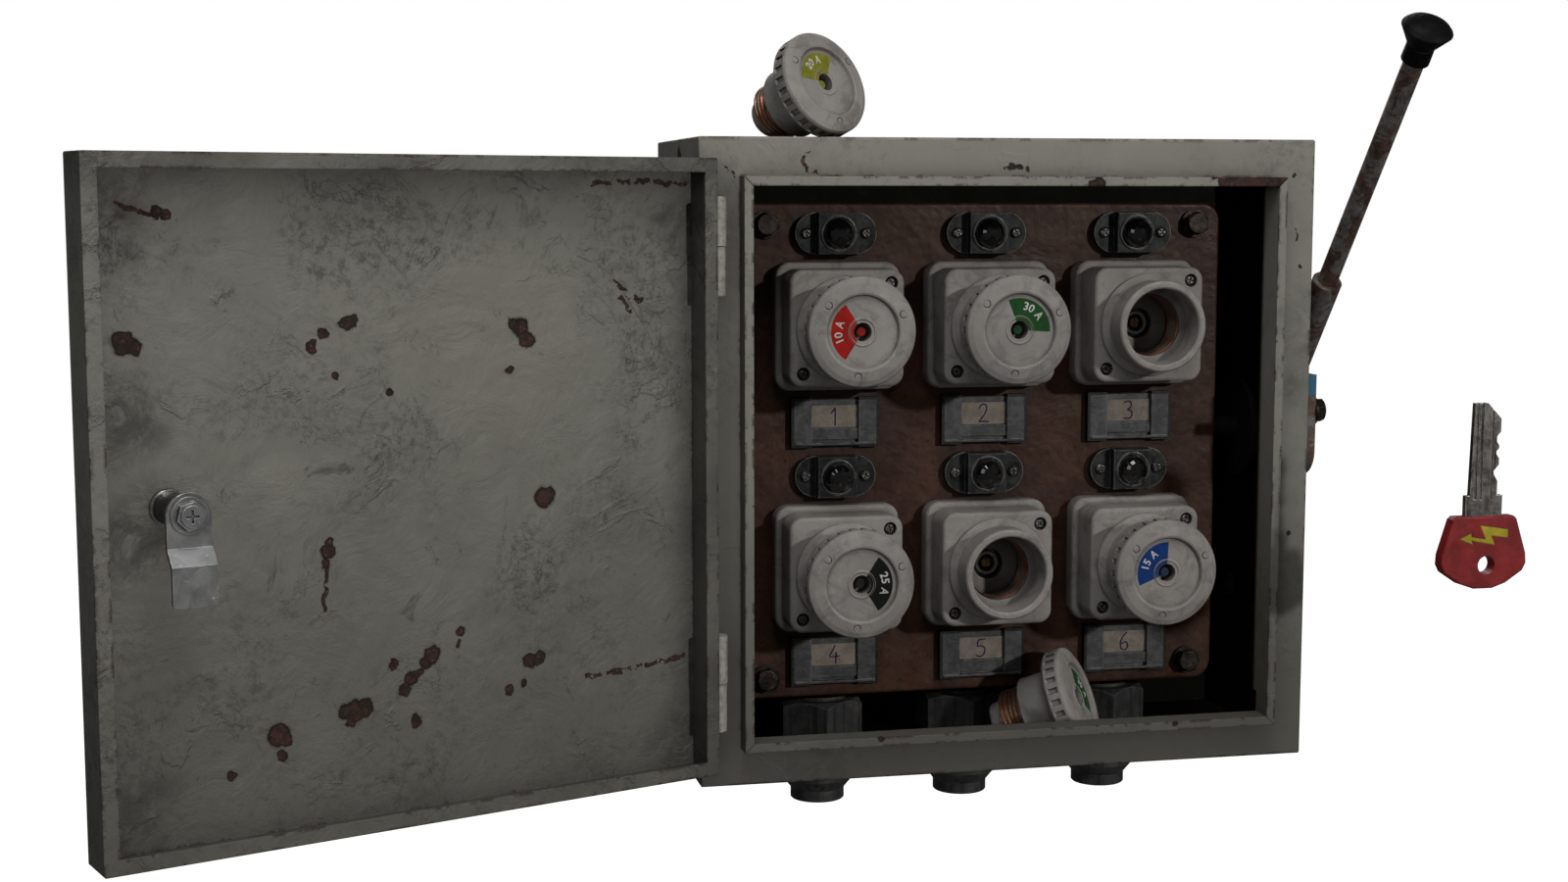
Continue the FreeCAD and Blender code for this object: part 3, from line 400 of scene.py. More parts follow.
def ceramic(name, light, round_edges, sheen=0.3, grooves=False):
    """Worn off-white ceramic, stained grey in specks, with painted shade in its corners, and rubbed pale on
    its edges.
    """
    s = Shade(name)
    stain_and_shade = (0.085, 0.078, 0.070)
    colour = s.mix(s.step(s.noise(45.0, 6, 0.65, 0.5), 0.34, 0.68), [c * 0.80 for c in light], light)
    blotch = s.both(s.step(s.noise(75.0, 9, 0.76, 0.8), 0.48, 0.64), s.value(0.60))
    colour = s.mix(blotch, colour, [c * 0.42 for c in light])
    colour = s.mix(s.both(s.step(s.noise(520.0, 5, 0.7), 0.60, 0.74), s.value(0.55)), colour, stain_and_shade)
    rubbed = s.both(s.edges(0.0010, 0.015, 0.10), s.step(s.noise(140.0, 5, 0.7), 0.34, 0.60))
    colour = s.mix(rubbed, colour, [min(1.0, c * 1.28) for c in light])
    # Painted shade in corners and next to the parts in front, close and wide.
    colour = s.mix(s.both(s.step(s.crevice(0.0045), 0.26, 0.82), s.value(0.88)), colour, stain_and_shade)
    colour = s.mix(s.both(s.step(s.crevice(0.014), 0.22, 0.72), s.value(0.55)), colour, stain_and_shade)
    if grooves:
        # Painted shade in the grooves between the cap's ribs.
        rib_groove_shade = s.both(s.step(s.crevice(0.0022), 0.16, 0.42), s.value(0.85))
        colour = s.mix(rib_groove_shade, colour, (0.050, 0.045, 0.040))
    return s.finish(colour, s.step(s.noise(120.0, 5), 0.3, 0.7, 0.42, 0.66),
                    heights=[(s.noise(75.0, 5, 0.6, 0.8), 0.7, 0.28), (s.noise(650.0, 3), 0.06, 0.35)],
                    round_edges=round_edges, **{SHEEN: sheen})


def copper(name, bright, pale):
    """Copper with brown tarnish, green patina beside its ridges and painted shade between them."""
    s = Shade(name)
    colour = s.mix(s.step(s.noise(190.0, 6, 0.7), 0.36, 0.62), bright, [c * 0.52 for c in bright])
    colour = s.mix(s.both(s.edges(0.0004, 0.01, 0.08), s.step(s.noise(260.0, 4), 0.36, 0.55)), colour, pale)
    hidden = s.crevice(0.0016)
    green = s.both(s.step(hidden, 0.10, 0.30), s.step(s.noise(330.0, 5), 0.40, 0.55))
    colour = s.mix(green, colour, (0.045, 0.085, 0.062))
    # Painted shade deep between the ridges.
    colour = s.mix(s.step(hidden, 0.28, 0.55), colour, (0.016, 0.011, 0.008))
    rough = s.step(s.noise(240.0, 4), 0.3, 0.7, 0.30, 0.50)
    return s.finish(colour, rough, s.step(green, 0.0, 1.0, 0.9, 0.2),
                    heights=[(s.noise(380.0, 4), 0.04, 0.3)], round_edges=0.0)


def contacts():
    """Grey-green tinned sleeve with a brass screw in its middle, in every socket."""
    s = Shade("contact_brass")
    x, y, z = s.xyz()
    low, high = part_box("centre_contacts")
    sleeve, screw = 7.5 * MM, 3.15
    columns = [low.x + sleeve, (low.x + high.x) / 2, high.x - sleeve]
    level = s.add("ShaderNodeCombineXYZ", {0: x, 1: 0.0, 2: z}).outputs[0]
    axes = [(cx / MM, 0.0, cz / MM, screw) for cx in columns for cz in (low.z + sleeve, high.z - sleeve)]
    core = s.step(s.spots(level, axes), 1.02, 0.98)
    tin = s.mix(s.step(s.noise(420.0, 5, 0.7), 0.36, 0.62), (0.20, 0.22, 0.21), (0.34, 0.36, 0.35))
    tin = s.mix(s.step(s.crevice(0.002), 0.25, 0.8), tin, (0.030, 0.060, 0.052))
    brass = s.mix(s.step(s.noise(600.0, 5, 0.7), 0.40, 0.60), (0.20, 0.120, 0.045), (0.44, 0.30, 0.13))
    # Painted shade in the brass screw's hollows.
    brass = s.mix(s.step(s.crevice(0.0009), 0.3, 0.8), brass, (0.030, 0.018, 0.010))
    return s.finish(s.mix(core, tin, brass), 0.34, 0.8, heights=[(s.noise(700.0, 4), 0.06, 0.5)],
                    round_edges=0.0003)


def metal(name, light, dark, rust, rough, scale):
    """Bare metal: cloudy tarnish, fine specks, bright edges and, the more rust is above 0, rusty patches."""
    s = Shade(name)
    specks = s.noise(scale * 5, 3)
    colour = s.mix(s.step(s.noise(scale, 6, 0.68), 0.35, 0.65), dark, light)
    colour = s.mix(s.both(s.step(specks, 0.55, 0.75), s.value(0.5)), colour, [c * 0.55 for c in dark])
    colour = s.mix(s.both(s.edges(0.0005), s.step(s.noise(scale * 2, 4), 0.36, 0.55)), colour,
                   [min(1.0, c * 1.5) for c in light])
    eaten = s.step(s.noise(scale * 0.9, 8, 0.72, 0.6), 0.72 - 0.42 * rust, 0.80 - 0.42 * rust)
    mottle = s.step(s.noise(scale * 3, 5, 0.7), 0.38, 0.62)
    brown = s.mix(mottle, (0.022, 0.012, 0.009), (0.105, 0.046, 0.029))
    colour = s.mix(eaten, colour, brown)
    # Painted shade in corners.
    colour = s.mix(s.step(s.crevice(0.0018), 0.35, 0.9), colour, (0.018, 0.016, 0.014))
    shiny = s.step(s.noise(scale * 1.4, 5), 0.3, 0.7, *rough)
    shiny = s.either(shiny, s.step(eaten, 0.0, 1.0, 0.0, 0.82))
    return s.finish(colour, shiny, s.step(eaten, 0.0, 1.0, 0.95, 0.15),
                    heights=[(s.noise(scale * 2.4, 5, 0.65), 0.25, 0.5), (specks, 0.03, 0.5)],
                    round_edges=0.0004)


def zinc(name, light, dark, rough):
    """Satin plating with faint clouds, fine random scratches and painted shade in the corners."""
    s = Shade(name)
    colour = s.mix(s.step(s.noise(60.0, 7, 0.70, 0.8), 0.38, 0.62), dark, light)
    thin = []
    for scale, turn in ((95.0, 0.4), (140.0, 1.3)):
        contour = s.calc("SUBTRACT", s.noise(scale, 2, 0.4, 0.0, s.turned((0, 0, 0), turn)), 0.5)
        thin.append(s.step(s.calc("ABSOLUTE", contour), 0.006, 0.001))
    scratch = s.both(s.either(*thin), s.step(s.noise(210.0, 4), 0.54, 0.62))
    colour = s.mix(scratch, colour, (0.50, 0.50, 0.50))
    colour = s.mix(s.both(s.edges(0.0004), s.step(s.noise(300.0, 4), 0.34, 0.50)), colour, (0.74, 0.74, 0.74))
    # Painted shade in the corners.
    colour = s.mix(s.step(s.crevice(0.0035), 0.16, 0.60), colour, (0.016, 0.015, 0.014))
    return s.finish(colour, s.step(s.noise(90.0, 4), 0.3, 0.7, *rough), 0.9,
                    heights=[(scratch, 0.015, 0.4), (s.noise(900.0, 3), 0.010, 0.3)], round_edges=0.0002)


def key_blade():
    """Nickel key blank, worn, with dark lengthwise streaks and painted shade in its corners."""
    s = Shade("key_steel")
    lines = s.noise(420.0, 4, 0.6, 0.0, s.stretched(1.0, 1.0, 0.05))
    colour = s.mix(s.step(s.noise(260.0, 6, 0.7), 0.36, 0.62), (0.085, 0.078, 0.072), (0.230, 0.218, 0.205))
    colour = s.mix(s.step(lines, 0.44, 0.34), colour, (0.035, 0.030, 0.026))
    colour = s.mix(s.both(s.step(lines, 0.60, 0.70), s.value(0.6)), colour, (0.23, 0.165, 0.115))
    colour = s.mix(s.both(s.edges(0.0005), s.step(s.noise(300.0, 4), 0.34, 0.50)), colour, (0.80, 0.78, 0.75))
    # Painted shade in corners.
    colour = s.mix(s.step(s.crevice(0.0016), 0.30, 0.8), colour, (0.020, 0.018, 0.016))
    return s.finish(colour, 0.36, 0.85, heights=[(lines, 0.10, 0.5), (s.noise(500.0, 4), 0.04, 0.4)],
                    round_edges=0.0003)


def rod_steel():
    """Lever steel: rust, worn pale grey paint and dark pits, and painted near black inside the cabinet as
    painted shade.
    """
    s = Shade("rusty_steel")
    rod_inside_shade = s.step(s.xyz()[0], 0.1502, 0.1490)
    brown = s.mix(s.step(s.noise(210.0, 7, 0.72), 0.34, 0.60), (0.034, 0.020, 0.016), (0.120, 0.068, 0.052))
    brown = s.mix(s.step(s.noise(120.0, 6, 0.7), 0.56, 0.68), brown, (0.200, 0.080, 0.040))
    grey = s.mix(s.step(s.noise(260.0, 6, 0.7), 0.38, 0.62), (0.110, 0.100, 0.094), (0.210, 0.198, 0.186))
    patches = s.step(s.noise(78.0, 8, 0.70, 0.8), 0.49, 0.56)
    colour = s.mix(patches, brown, grey)
    colour = s.mix(s.step(s.noise(330.0, 6, 0.72), 0.62, 0.70), colour, (0.022, 0.014, 0.011))
    colour = s.mix(s.both(s.edges(0.0008), s.step(s.noise(240.0, 4), 0.4, 0.6)), colour, (0.30, 0.27, 0.245))
    # Painted shade: near black inside the cabinet.
    colour = s.mix(rod_inside_shade, colour, (0.0085, 0.0070, 0.0062))
    return s.finish(colour, s.step(patches, 0.0, 1.0, 0.72, 0.50), s.step(rod_inside_shade, 0.0, 1.0, 0.15, 0.0),
                    heights=[(patches, 0.20, 0.7), (s.noise(330.0, 6, 0.68), 0.35, 0.6)], round_edges=0.0005,
                    **{SHEEN: s.step(rod_inside_shade, 0.0, 1.0, 0.5, 0.08)})


def gland_plastic():
    """Dark grey moulding with worn vertical grooves."""
    s = Shade("gland_grey")
    grooves = s.noise(330.0, 4, 0.6, 0.0, s.stretched(1.0, 1.0, 0.03))
    colour = s.mix(s.step(s.noise(120.0, 7, 0.7), 0.38, 0.64), (0.020, 0.0195, 0.020), (0.042, 0.0415, 0.042))
    colour = s.mix(s.step(grooves, 0.50, 0.36), colour, (0.010, 0.010, 0.010))
    worn = s.both(s.edges(0.0009), s.step(s.noise(220.0, 5), 0.36, 0.58))
    colour = s.mix(worn, colour, (0.120, 0.117, 0.112))
    dusty = s.both(s.step(s.noise(26.0, 6, 0.7), 0.55, 0.68), s.value(0.5))
    colour = s.mix(dusty, colour, (0.105, 0.098, 0.088))
    return s.finish(colour, 0.58, heights=[(grooves, 0.5, 0.6), (s.noise(500.0, 4), 0.1, 0.4)],
                    round_edges=0.0006)


def plate_steel():
    """Lever bracket: rusty steel whose top edge still has blue paint."""
    s = Shade("plate_steel")
    z = s.xyz()[2]
    brown = s.mix(s.step(s.noise(170.0, 7, 0.72), 0.36, 0.62), (0.030, 0.017, 0.012), (0.130, 0.066, 0.045))
    grey = s.mix(s.step(s.noise(240.0, 5), 0.4, 0.6), (0.085, 0.082, 0.075), (0.155, 0.150, 0.138))
    colour = s.mix(s.step(s.noise(95.0, 7, 0.7, 0.6), 0.46, 0.56), brown, grey)
    ragged_z = s.calc("ADD", z, s.step(s.noise(160.0, 4), 0.3, 0.7, -0.002, 0.002))
    blue = s.both(s.step(ragged_z, 0.0275, 0.0285), s.step(s.noise(280.0, 6, 0.7), 0.62, 0.54))
    colour = s.mix(blue, colour, (0.022, 0.115, 0.200))
    colour = s.mix(s.both(s.edges(0.0009), s.step(s.noise(330.0, 4), 0.4, 0.55)), colour, (0.17, 0.12, 0.095))
    return s.finish(colour, 0.62, 0.2, heights=[(s.noise(280.0, 6, 0.68), 0.35, 0.6)], round_edges=0.0006)


# ---------------------------------------------------------------- plastics, glass and paper
def plastic(name, colour, worn, rough, grain, wear, dust, sheen=0.3):
    """Moulding scuffed and rubbed to its worn colour, more so with wear and dust nearer 1."""
    s = Shade(name)
    base = s.mix(s.step(s.noise(110.0, 6, 0.68), 0.38, 0.66), colour, [c * 1.5 + 0.004 for c in colour])
    scuff = s.step(s.noise(70.0, 9, 0.78, 1.0), 0.56, 0.68)
    base = s.mix(s.both(scuff, s.value(dust)), base, worn)
    rubbed = s.both(s.edges(0.0006, 0.015, 0.09), s.step(s.noise(220.0, 6, 0.7), 0.60 - 0.25 * wear, 0.66))
    base = s.mix(rubbed, base, [c * 1.3 for c in worn])
    shiny = s.calc("ADD", s.step(s.noise(90.0, 5), 0.3, 0.7, *rough), s.step(scuff, 0.0, 1.0, 0.0, 0.14))
    return s.finish(base, shiny, heights=[(s.noise(500.0, 4), grain, 0.5), (scuff, 0.03, 0.4)],
                    round_edges=0.0005, **{SHEEN: sheen})


def lamp_body():
    """Black moulding rubbed grey on its flats and silvery on its edges."""
    s = Shade("lamp_black")
    clouds = s.step(s.noise(150.0, 8, 0.72, 0.5), 0.40, 0.64)
    colour = s.mix(clouds, (0.007, 0.0075, 0.008), (0.030, 0.031, 0.032))
    colour = s.mix(s.step(s.noise(420.0, 7, 0.78, 0.6), 0.63, 0.72), colour, (0.120, 0.120, 0.118))
    colour = s.mix(s.both(s.edges(0.0007, 0.012, 0.08), s.step(s.noise(260.0, 6, 0.7), 0.36, 0.52)), colour,
                   (0.310, 0.312, 0.310))
    # Painted shade in corners.
    colour = s.mix(s.step(s.crevice(0.0030), 0.28, 0.75), colour, (0.004, 0.004, 0.004))
    return s.finish(colour, s.step(s.noise(170.0, 5), 0.3, 0.7, 0.26, 0.46), 0.2,
                    heights=[(s.noise(450.0, 5, 0.65), 0.10, 0.4)], round_edges=0.0004, **{SHEEN: 0.3})


def lamp_glass():
    """Near-black glass with a clear coat and a little dust."""
    s = Shade("lamp_glass")
    dust = s.step(s.noise(260.0, 7, 0.72), 0.52, 0.70)
    colour = s.mix(s.both(dust, s.value(0.10)), (0.004, 0.004, 0.004), (0.12, 0.115, 0.105))
    return s.finish(colour, s.step(dust, 0.0, 1.0, 0.05, 0.16), round_edges=0.0,
                    **{"Coat Weight": 1.0, "Coat Roughness": 0.05})


def label_metal():
    """Grey scratched label frames, each with a black band painted along its rim."""
    s = Shade("label_metal")
    lines = s.noise(900.0, 4, 0.65, 0.0, s.stretched(0.12, 1.0, 1.0))
    clouds = s.step(s.noise(130.0, 8, 0.74, 0.5), 0.42, 0.62)
    colour = s.mix(clouds, (0.042, 0.044, 0.046), (0.084, 0.087, 0.089))
    colour = s.mix(s.both(s.step(lines, 0.52, 0.72), s.value(0.6)), colour, (0.115, 0.117, 0.117))
    worn = s.both(s.edges(0.0006), s.step(s.noise(260.0, 5), 0.36, 0.55))
    colour = s.mix(worn, colour, (0.31, 0.31, 0.305))
    x, y, z = s.xyz()

    def from_nearest(value, middles):
        out = None
        for middle in middles:
            away = s.calc("ABSOLUTE", s.calc("SUBTRACT", value, middle))
            out = away if out is None else s.calc("MINIMUM", out, away)
        return out

    across = s.step(from_nearest(x, LABEL_COLUMNS), 0.0203, 0.0206)
    up = s.step(from_nearest(z, LABEL_ROWS), 0.0107, 0.0110)
    colour = s.mix(s.either(across, up), colour, (0.005, 0.005, 0.005))
    # Painted shade in corners.
    colour = s.mix(s.step(s.crevice(0.0025), 0.35, 0.9), colour, (0.008, 0.008, 0.008))
    return s.finish(colour, s.step(s.noise(200.0, 5), 0.3, 0.7, 0.34, 0.58), 0.25,
                    heights=[(s.noise(120.0, 4, 0.6, 1.5), 0.5, 0.35), (s.noise(480.0, 5), 0.12, 0.5)],
                    round_edges=0.0003)


def paper():
    """Brown fibrous card."""
    s = Shade("label_paper")
    fibres = s.noise(1500.0, 5, 0.7, 0.0, s.stretched(0.5, 1.0, 1.0))
    colour = s.mix(s.step(s.noise(150.0, 7, 0.7), 0.38, 0.62), (0.215, 0.180, 0.150), (0.285, 0.250, 0.215))
    colour = s.mix(s.step(fibres, 0.5, 0.75), colour, (0.135, 0.105, 0.085))
    # Painted shade next to the frame.
    colour = s.mix(s.both(s.step(s.crevice(0.0016), 0.3, 0.8), s.value(0.6)), colour, (0.06, 0.05, 0.04))
    return s.finish(colour, 0.8, heights=[(fibres, 0.04, 0.5), (s.noise(90.0, 3), 0.4, 0.3)],
                    round_edges=0.0, **{SHEEN: 0.15})


def ink(name, colour, worn, amount):
    """Printed or written colour, faded and rubbed."""
    s = Shade(name)
    rubbed = s.step(s.noise(420.0, 7, 0.75), 0.60, 0.70)
    base = s.mix(s.step(s.noise(260.0, 5), 0.35, 0.65), colour, [c * 0.72 for c in colour])
    base = s.mix(s.both(rubbed, s.value(amount)), base, worn)
    return s.finish(base, s.step(rubbed, 0.0, 1.0, 0.38, 0.6), heights=[(s.noise(700.0, 3), 0.04, 0.4)],
                    round_edges=0.0, **{SHEEN: 0.15})


# ---------------------------------------------------------------- materials on the CAD nodes
FINISH = {
    "cabinet_paint": enamel("cabinet_paint"),
    "panel_board": board(),
    "ceramic_body": ceramic("ceramic_body", (0.300, 0.281, 0.262), 0.0007),
    "cartridge_body": ceramic("cartridge_ceramic", (0.30, 0.285, 0.268), 0.0004, sheen=0.5),
    "copper_thread": copper("copper_thread", (0.47, 0.180, 0.100), (0.78, 0.42, 0.28)),
    "contact_brass": contacts(),
    "zinc_steel": zinc("zinc_steel", (0.27, 0.27, 0.272), (0.185, 0.186, 0.19), (0.30, 0.40)),
    "old_steel": metal("old_steel", (0.044, 0.037, 0.033), (0.018, 0.015, 0.013), 0.40, (0.34, 0.55), 210.0),
    "rusty_steel": rod_steel(),
    "plate_steel": plate_steel(),
    "knob_black": plastic("knob_black", (0.0025, 0.0025, 0.0025), (0.026, 0.025, 0.024), (0.46, 0.60),
                          grain=0.05, wear=0.4, dust=0.2, sheen=0.10),
    "lamp_black": lamp_body(),
    "lamp_glass": lamp_glass(),
    "label_metal": label_metal(),
    "label_paper": paper(),
    "gland_grey": gland_plastic(),
    "key_red": plastic("key_red", (0.200, 0.010, 0.011), (0.260, 0.060, 0.055), (0.36, 0.54),
                       grain=0.12, wear=0.9, dust=0.12),
    "key_steel": key_blade(),
}
# Nodes whose finish isn't their material slot's own.
cap_finish = ceramic("ceramic_cap", (0.295, 0.277, 0.259), 0.0006, grooves=True)
screw_finish = metal("screw_steel", (0.20, 0.19, 0.18), (0.070, 0.066, 0.062), 0.12, (0.26, 0.42), 420.0)
hinge_finish = hinge_paint()
OWN = {
    "door_pan": enamel("door_paint", door=True),
    "hinge_frame_halves": hinge_finish,
    "hinge_door_halves": hinge_finish,
    "socket_shells": copper("shell_copper", (0.150, 0.052, 0.030), (0.30, 0.130, 0.080)),
    "cover_screws": screw_finish,
    "lamp_screws": screw_finish,
    "lock_nut": zinc("chrome_nut", (0.40, 0.40, 0.40), (0.27, 0.27, 0.27), (0.20, 0.30)),
    "lock_housing": metal("lock_housing", (0.090, 0.088, 0.084), (0.042, 0.040, 0.038), 0.15, (0.34, 0.5),
                          240.0),
    "lock_plug": metal("lock_plug", (0.30, 0.30, 0.30), (0.13, 0.13, 0.13), 0.1, (0.22, 0.4), 240.0),
}
OWN.update({name: cap_finish for name in NODES if name.startswith("fuse_cap")})
for part in frame["record"]["subparts"]:
    piece = NODES[part["node"]]
    piece.data.materials.clear()
    piece.data.materials.append(OWN.get(part["node"], FINISH[part["material_slot"]]))


# ---------------------------------------------------------------- small printed pieces
# A fuse's own frame has z along it, out of the socket. In millimetres: its cap's length in front of the
# origin, the heights of its face, of the low ring on it and of its window, and the thickness of the print.
CAP_FRONT, FACE, RING, WINDOW, PRINT = 11.8, 9.8, 10.2, 7.21, 0.06
BANDS = ((6.85, 14.9, FACE), (5.95, 6.45, RING), (4.4, 5.55, FACE))     # inner radius, outer radius, height
HALF_SECTOR, EYE_R = 57.5, 1.95
RATING_R, RATING_H = 11.3, 5.3


def mesh_piece(name, verts, faces, material, body):
    """A closed mesh that rides on a body."""
    mesh = bpy.data.meshes.new(name)
    mesh.from_pydata([tuple(v) for v in verts], [], faces)
    mesh.update()
    made = bmesh.new()
    made.from_mesh(mesh)
    bmesh.ops.recalc_face_normals(made, faces=made.faces)
    made.to_mesh(mesh)
    made.free()
    mesh.materials.append(material)
    piece = bpy.data.objects.new(name, mesh)
    bpy.context.scene.collection.objects.link(piece)
    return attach(piece, body)


def slab(outline, low, high, frame_of):
    """A closed plate with this outline, in a local frame in millimetres."""
    count = len(outline)
    verts = [frame_of(x, y, z) for z in (low, high) for x, y in outline]
    faces = [tuple(range(count))[::-1], tuple(range(count, 2 * count))]
    faces += [(i, (i + 1) % count, count + (i + 1) % count, count + i) for i in range(count)]
    return verts, faces


def sector(centre, half, inner, outer):
    """Outline of a ring's sector, half a sector either side of centre, in degrees."""
    steps = 28
    angles = [math.radians(centre + half - 2 * half * i / steps) for i in range(steps + 1)]
    ring = [(outer * math.cos(a), outer * math.sin(a)) for a in angles]
    return ring + [(inner * math.cos(a), inner * math.sin(a)) for a in reversed(angles)]


def faces_of(curve):
    """The vertices and faces that a curve or a text makes."""
    holder = bpy.data.objects.new(curve.name, curve)
    bpy.context.scene.collection.objects.link(holder)
    bpy.context.view_layer.update()
    mesh = bpy.data.meshes.new_from_object(holder.evaluated_get(bpy.context.evaluated_depsgraph_get()))
    verts, faces = [tuple(v.co) for v in mesh.vertices], [tuple(f.vertices) for f in mesh.polygons]
    bpy.data.objects.remove(holder)
    bpy.data.meshes.remove(mesh)
    return verts, faces


def lettering(text, height):
    """Outline mesh of a short number, centred on its own origin, in millimetres."""
    curve = bpy.data.curves.new("lettering", "FONT")
    curve.body, curve.size, curve.extrude, curve.offset = text, height, 0.02, 0.10
    curve.align_x, curve.align_y, curve.resolution_u, curve.space_character = "CENTER", "CENTER", 3, 1.06
    return faces_of(curve)


def dial(name, body, frame_of, centre, rating, colour, eye):
    """The coloured sector, its rating and the coloured eye on a fuse's face."""
    base = ink("ink_%s" % name, colour, [c * 1.8 + 0.012 for c in colour], 0.35)
    verts, faces = [], []
    for inner, outer, level in BANDS:
        outline = sector(centre, HALF_SECTOR, inner, outer)
        more_verts, more_faces = slab(outline, level, level + PRINT, frame_of)
        faces += [tuple(i + len(verts) for i in face) for face in more_faces]
        verts += more_verts
    mesh_piece("dial_%s" % name, verts, faces, base, body)
    verts, faces = lettering("%s A" % rating, RATING_H)
    bent = []
    for x, y, z in verts:
        radius, angle = RATING_R + y, math.radians(centre) - x / RATING_R
        bent.append(frame_of(radius * math.cos(angle), radius * math.sin(angle), FACE + 0.10 + z))
    white = ink("ink_white_%s" % name, (0.62, 0.60, 0.57), (0.30, 0.29, 0.27), 0.35)
    mesh_piece("rating_%s" % name, bent, faces, white, body)
    dot = [(EYE_R * math.cos(a), EYE_R * math.sin(a)) for a in [math.tau * i / 24 for i in range(24)]]
    verts, faces = slab(dot, WINDOW, WINDOW + PRINT, frame_of)
    eye_ink = ink("ink_eye_%s" % name, eye, [c * 0.5 for c in eye], 0.3)
    mesh_piece("eye_%s" % name, verts, faces, eye_ink, body)


def facing_front(node):
    """An installed fuse's own frame, from its cap's place."""
    low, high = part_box(node)
    cx, cz, back = (low.x + high.x) / 2, (low.z + high.z) / 2, low.y + CAP_FRONT * MM
    return lambda x, y, z: (cx + x * MM, back - z * MM, cz + y * MM)


def lying_frame(x, y, floor_z, heading, roll):
    """The frame of a fuse that lies on a floor, on the edge of its cap and the end of its thread."""
    cap_r, cap_edge, thread_r, between = 25.6, 1.9, 14.1, 28.9
    lie = math.atan2(cap_r - thread_r, between)
    turn = math.radians(heading)
    out = Vector((math.cos(turn) * math.cos(lie), math.sin(turn) * math.cos(lie), math.sin(lie)))
    rot = Vector((0, 0, 1)).rotation_difference(out) @ Quaternion((0, 0, 1), math.radians(roll))
    height = cap_r * math.cos(lie) - cap_edge * math.sin(lie) + 0.02
    start = Vector((x, y, floor_z + height)) * MM
    return lambda x, y, z: tuple(start + rot @ (Vector((x, y, z)) * MM))


RED, GREEN, YELLOW = (0.370, 0.010, 0.006), (0.008, 0.070, 0.014), (0.215, 0.215, 0.026)
BLACK, GREY = (0.007, 0.007, 0.007), (0.02, 0.02, 0.02)
BLUE, PALE_BLUE = (0.005, 0.040, 0.190), (0.03, 0.05, 0.12)
# Each installed fuse: its socket, where its sector points, its rating, and the colours of sector and eye.
INSTALLED = ((1, 180, 10, RED, RED), (2, 54, 30, GREEN, GREEN), (4, 0, 25, BLACK, GREY),
             (6, 145, 15, BLUE, PALE_BLUE))
for number, centre, rating, colour, eye in INSTALLED:
    dial("fuse_%d" % number, "fuse_%d_cap" % number, facing_front("fuse_cap_%d" % number), centre, rating,
         colour, eye)
dial("fuse_on_top", "loose_fuse_on_top", lying_frame(-86.3, -66.9, 150.0, -58.3, 40), 107, 20, YELLOW, YELLOW)
dial("fuse_on_floor", "loose_fuse_on_floor", lying_frame(35.5, -86.5, -148.5, -32, 10), 60, 30, GREEN, GREEN)

# Handwritten numbers on the cards: strokes in a box 1 wide and 1 tall.
STROKES = {
    1: [[(0.22, 0.68), (0.42, 0.84), (0.55, 1.0), (0.55, 0.6), (0.54, 0.0)]],
    2: [[(0.14, 0.76), (0.26, 0.98), (0.62, 1.04), (0.80, 0.80), (0.62, 0.46), (0.32, 0.20), (0.10, 0.02),
         (0.46, 0.05), (0.92, 0.02)]],
    3: [[(0.16, 0.94), (0.50, 1.06), (0.80, 0.90), (0.70, 0.62), (0.38, 0.54), (0.74, 0.50), (0.88, 0.22),
         (0.56, -0.04), (0.12, 0.06)]],
    4: [[(0.58, 1.0), (0.34, 0.66), (0.10, 0.36), (0.46, 0.36), (0.92, 0.40)],
        [(0.68, 0.62), (0.66, 0.3), (0.62, -0.04)]],
    5: [[(0.84, 1.0), (0.50, 0.98), (0.26, 0.96), (0.22, 0.76), (0.18, 0.56), (0.52, 0.64), (0.84, 0.46),
         (0.74, 0.10), (0.40, -0.04), (0.10, 0.08)]],
    6: [[(0.74, 1.02), (0.42, 0.84), (0.18, 0.46), (0.20, 0.12), (0.48, -0.04), (0.80, 0.10), (0.80, 0.38),
         (0.54, 0.50), (0.26, 0.34)]],
}


def written(number, centre, width, height, ink_mat):
    """A handwritten digit as one mesh of thin round strokes on a card."""
    curve = bpy.data.curves.new("digit", "CURVE")
    curve.dimensions, curve.bevel_depth, curve.bevel_resolution = "3D", 0.32 * MM, 1
    curve.use_fill_caps = True
    for stroke in STROKES[number]:
        line = curve.splines.new("NURBS")
        line.points.add(len(stroke) - 1)
        for point, (x, y) in zip(line.points, stroke):
            point.co = (centre[0] + (x - 0.5) * width, centre[1], centre[2] + (y - 0.5) * height, 1.0)
        line.order_u, line.use_endpoint_u, line.resolution_u = 3, True, 6
    verts, faces = faces_of(curve)
    mesh_piece("card_number_%d" % number, verts, faces, ink_mat, "cabinet_assembly")


card_ink = ink("card_ink", (0.014, 0.016, 0.085), (0.040, 0.042, 0.090), 0.3)
low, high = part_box("label_cards")
card_w, card_h = 23.3 * MM, 10.8 * MM
for number in STROKES:
    column, upper = (number - 1) % 3, number <= 3
    card_x = low.x + card_w / 2 + column * (high.x - low.x - card_w) / 2
    card_z = high.z - card_h / 2 if upper else low.z + card_h / 2
    written(number, (card_x, low.y, card_z), 6.4 * MM, 8.8 * MM, card_ink)

# Yellow arrow inlaid in the key's bow.
low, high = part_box("key_bow")
MARK = [(11.6, -6.4), (11.6, -10.2), (3.6, -9.2), (5.4, -13.4), (-6.2, -11.1), (-5.4, -13.0),
        (-12.4, -10.2), (-6.4, -7.6), (-6.2, -9.5), (0.6, -10.5), (-2.4, -4.2)]
key_x, key_z = (low.x + high.x) / 2, high.z + 0.3 * MM
verts, faces = slab(MARK, 0.2, 0.75, lambda x, y, z: (key_x + x * MM, low.y + z * MM, key_z + y * MM))
yellow = plastic("key_yellow", (0.36, 0.30, 0.012), (0.16, 0.060, 0.016), (0.36, 0.5),
                 grain=0.05, wear=0.8, dust=0.6)
mesh_piece("key_arrow", verts, faces, yellow, "loose_key")

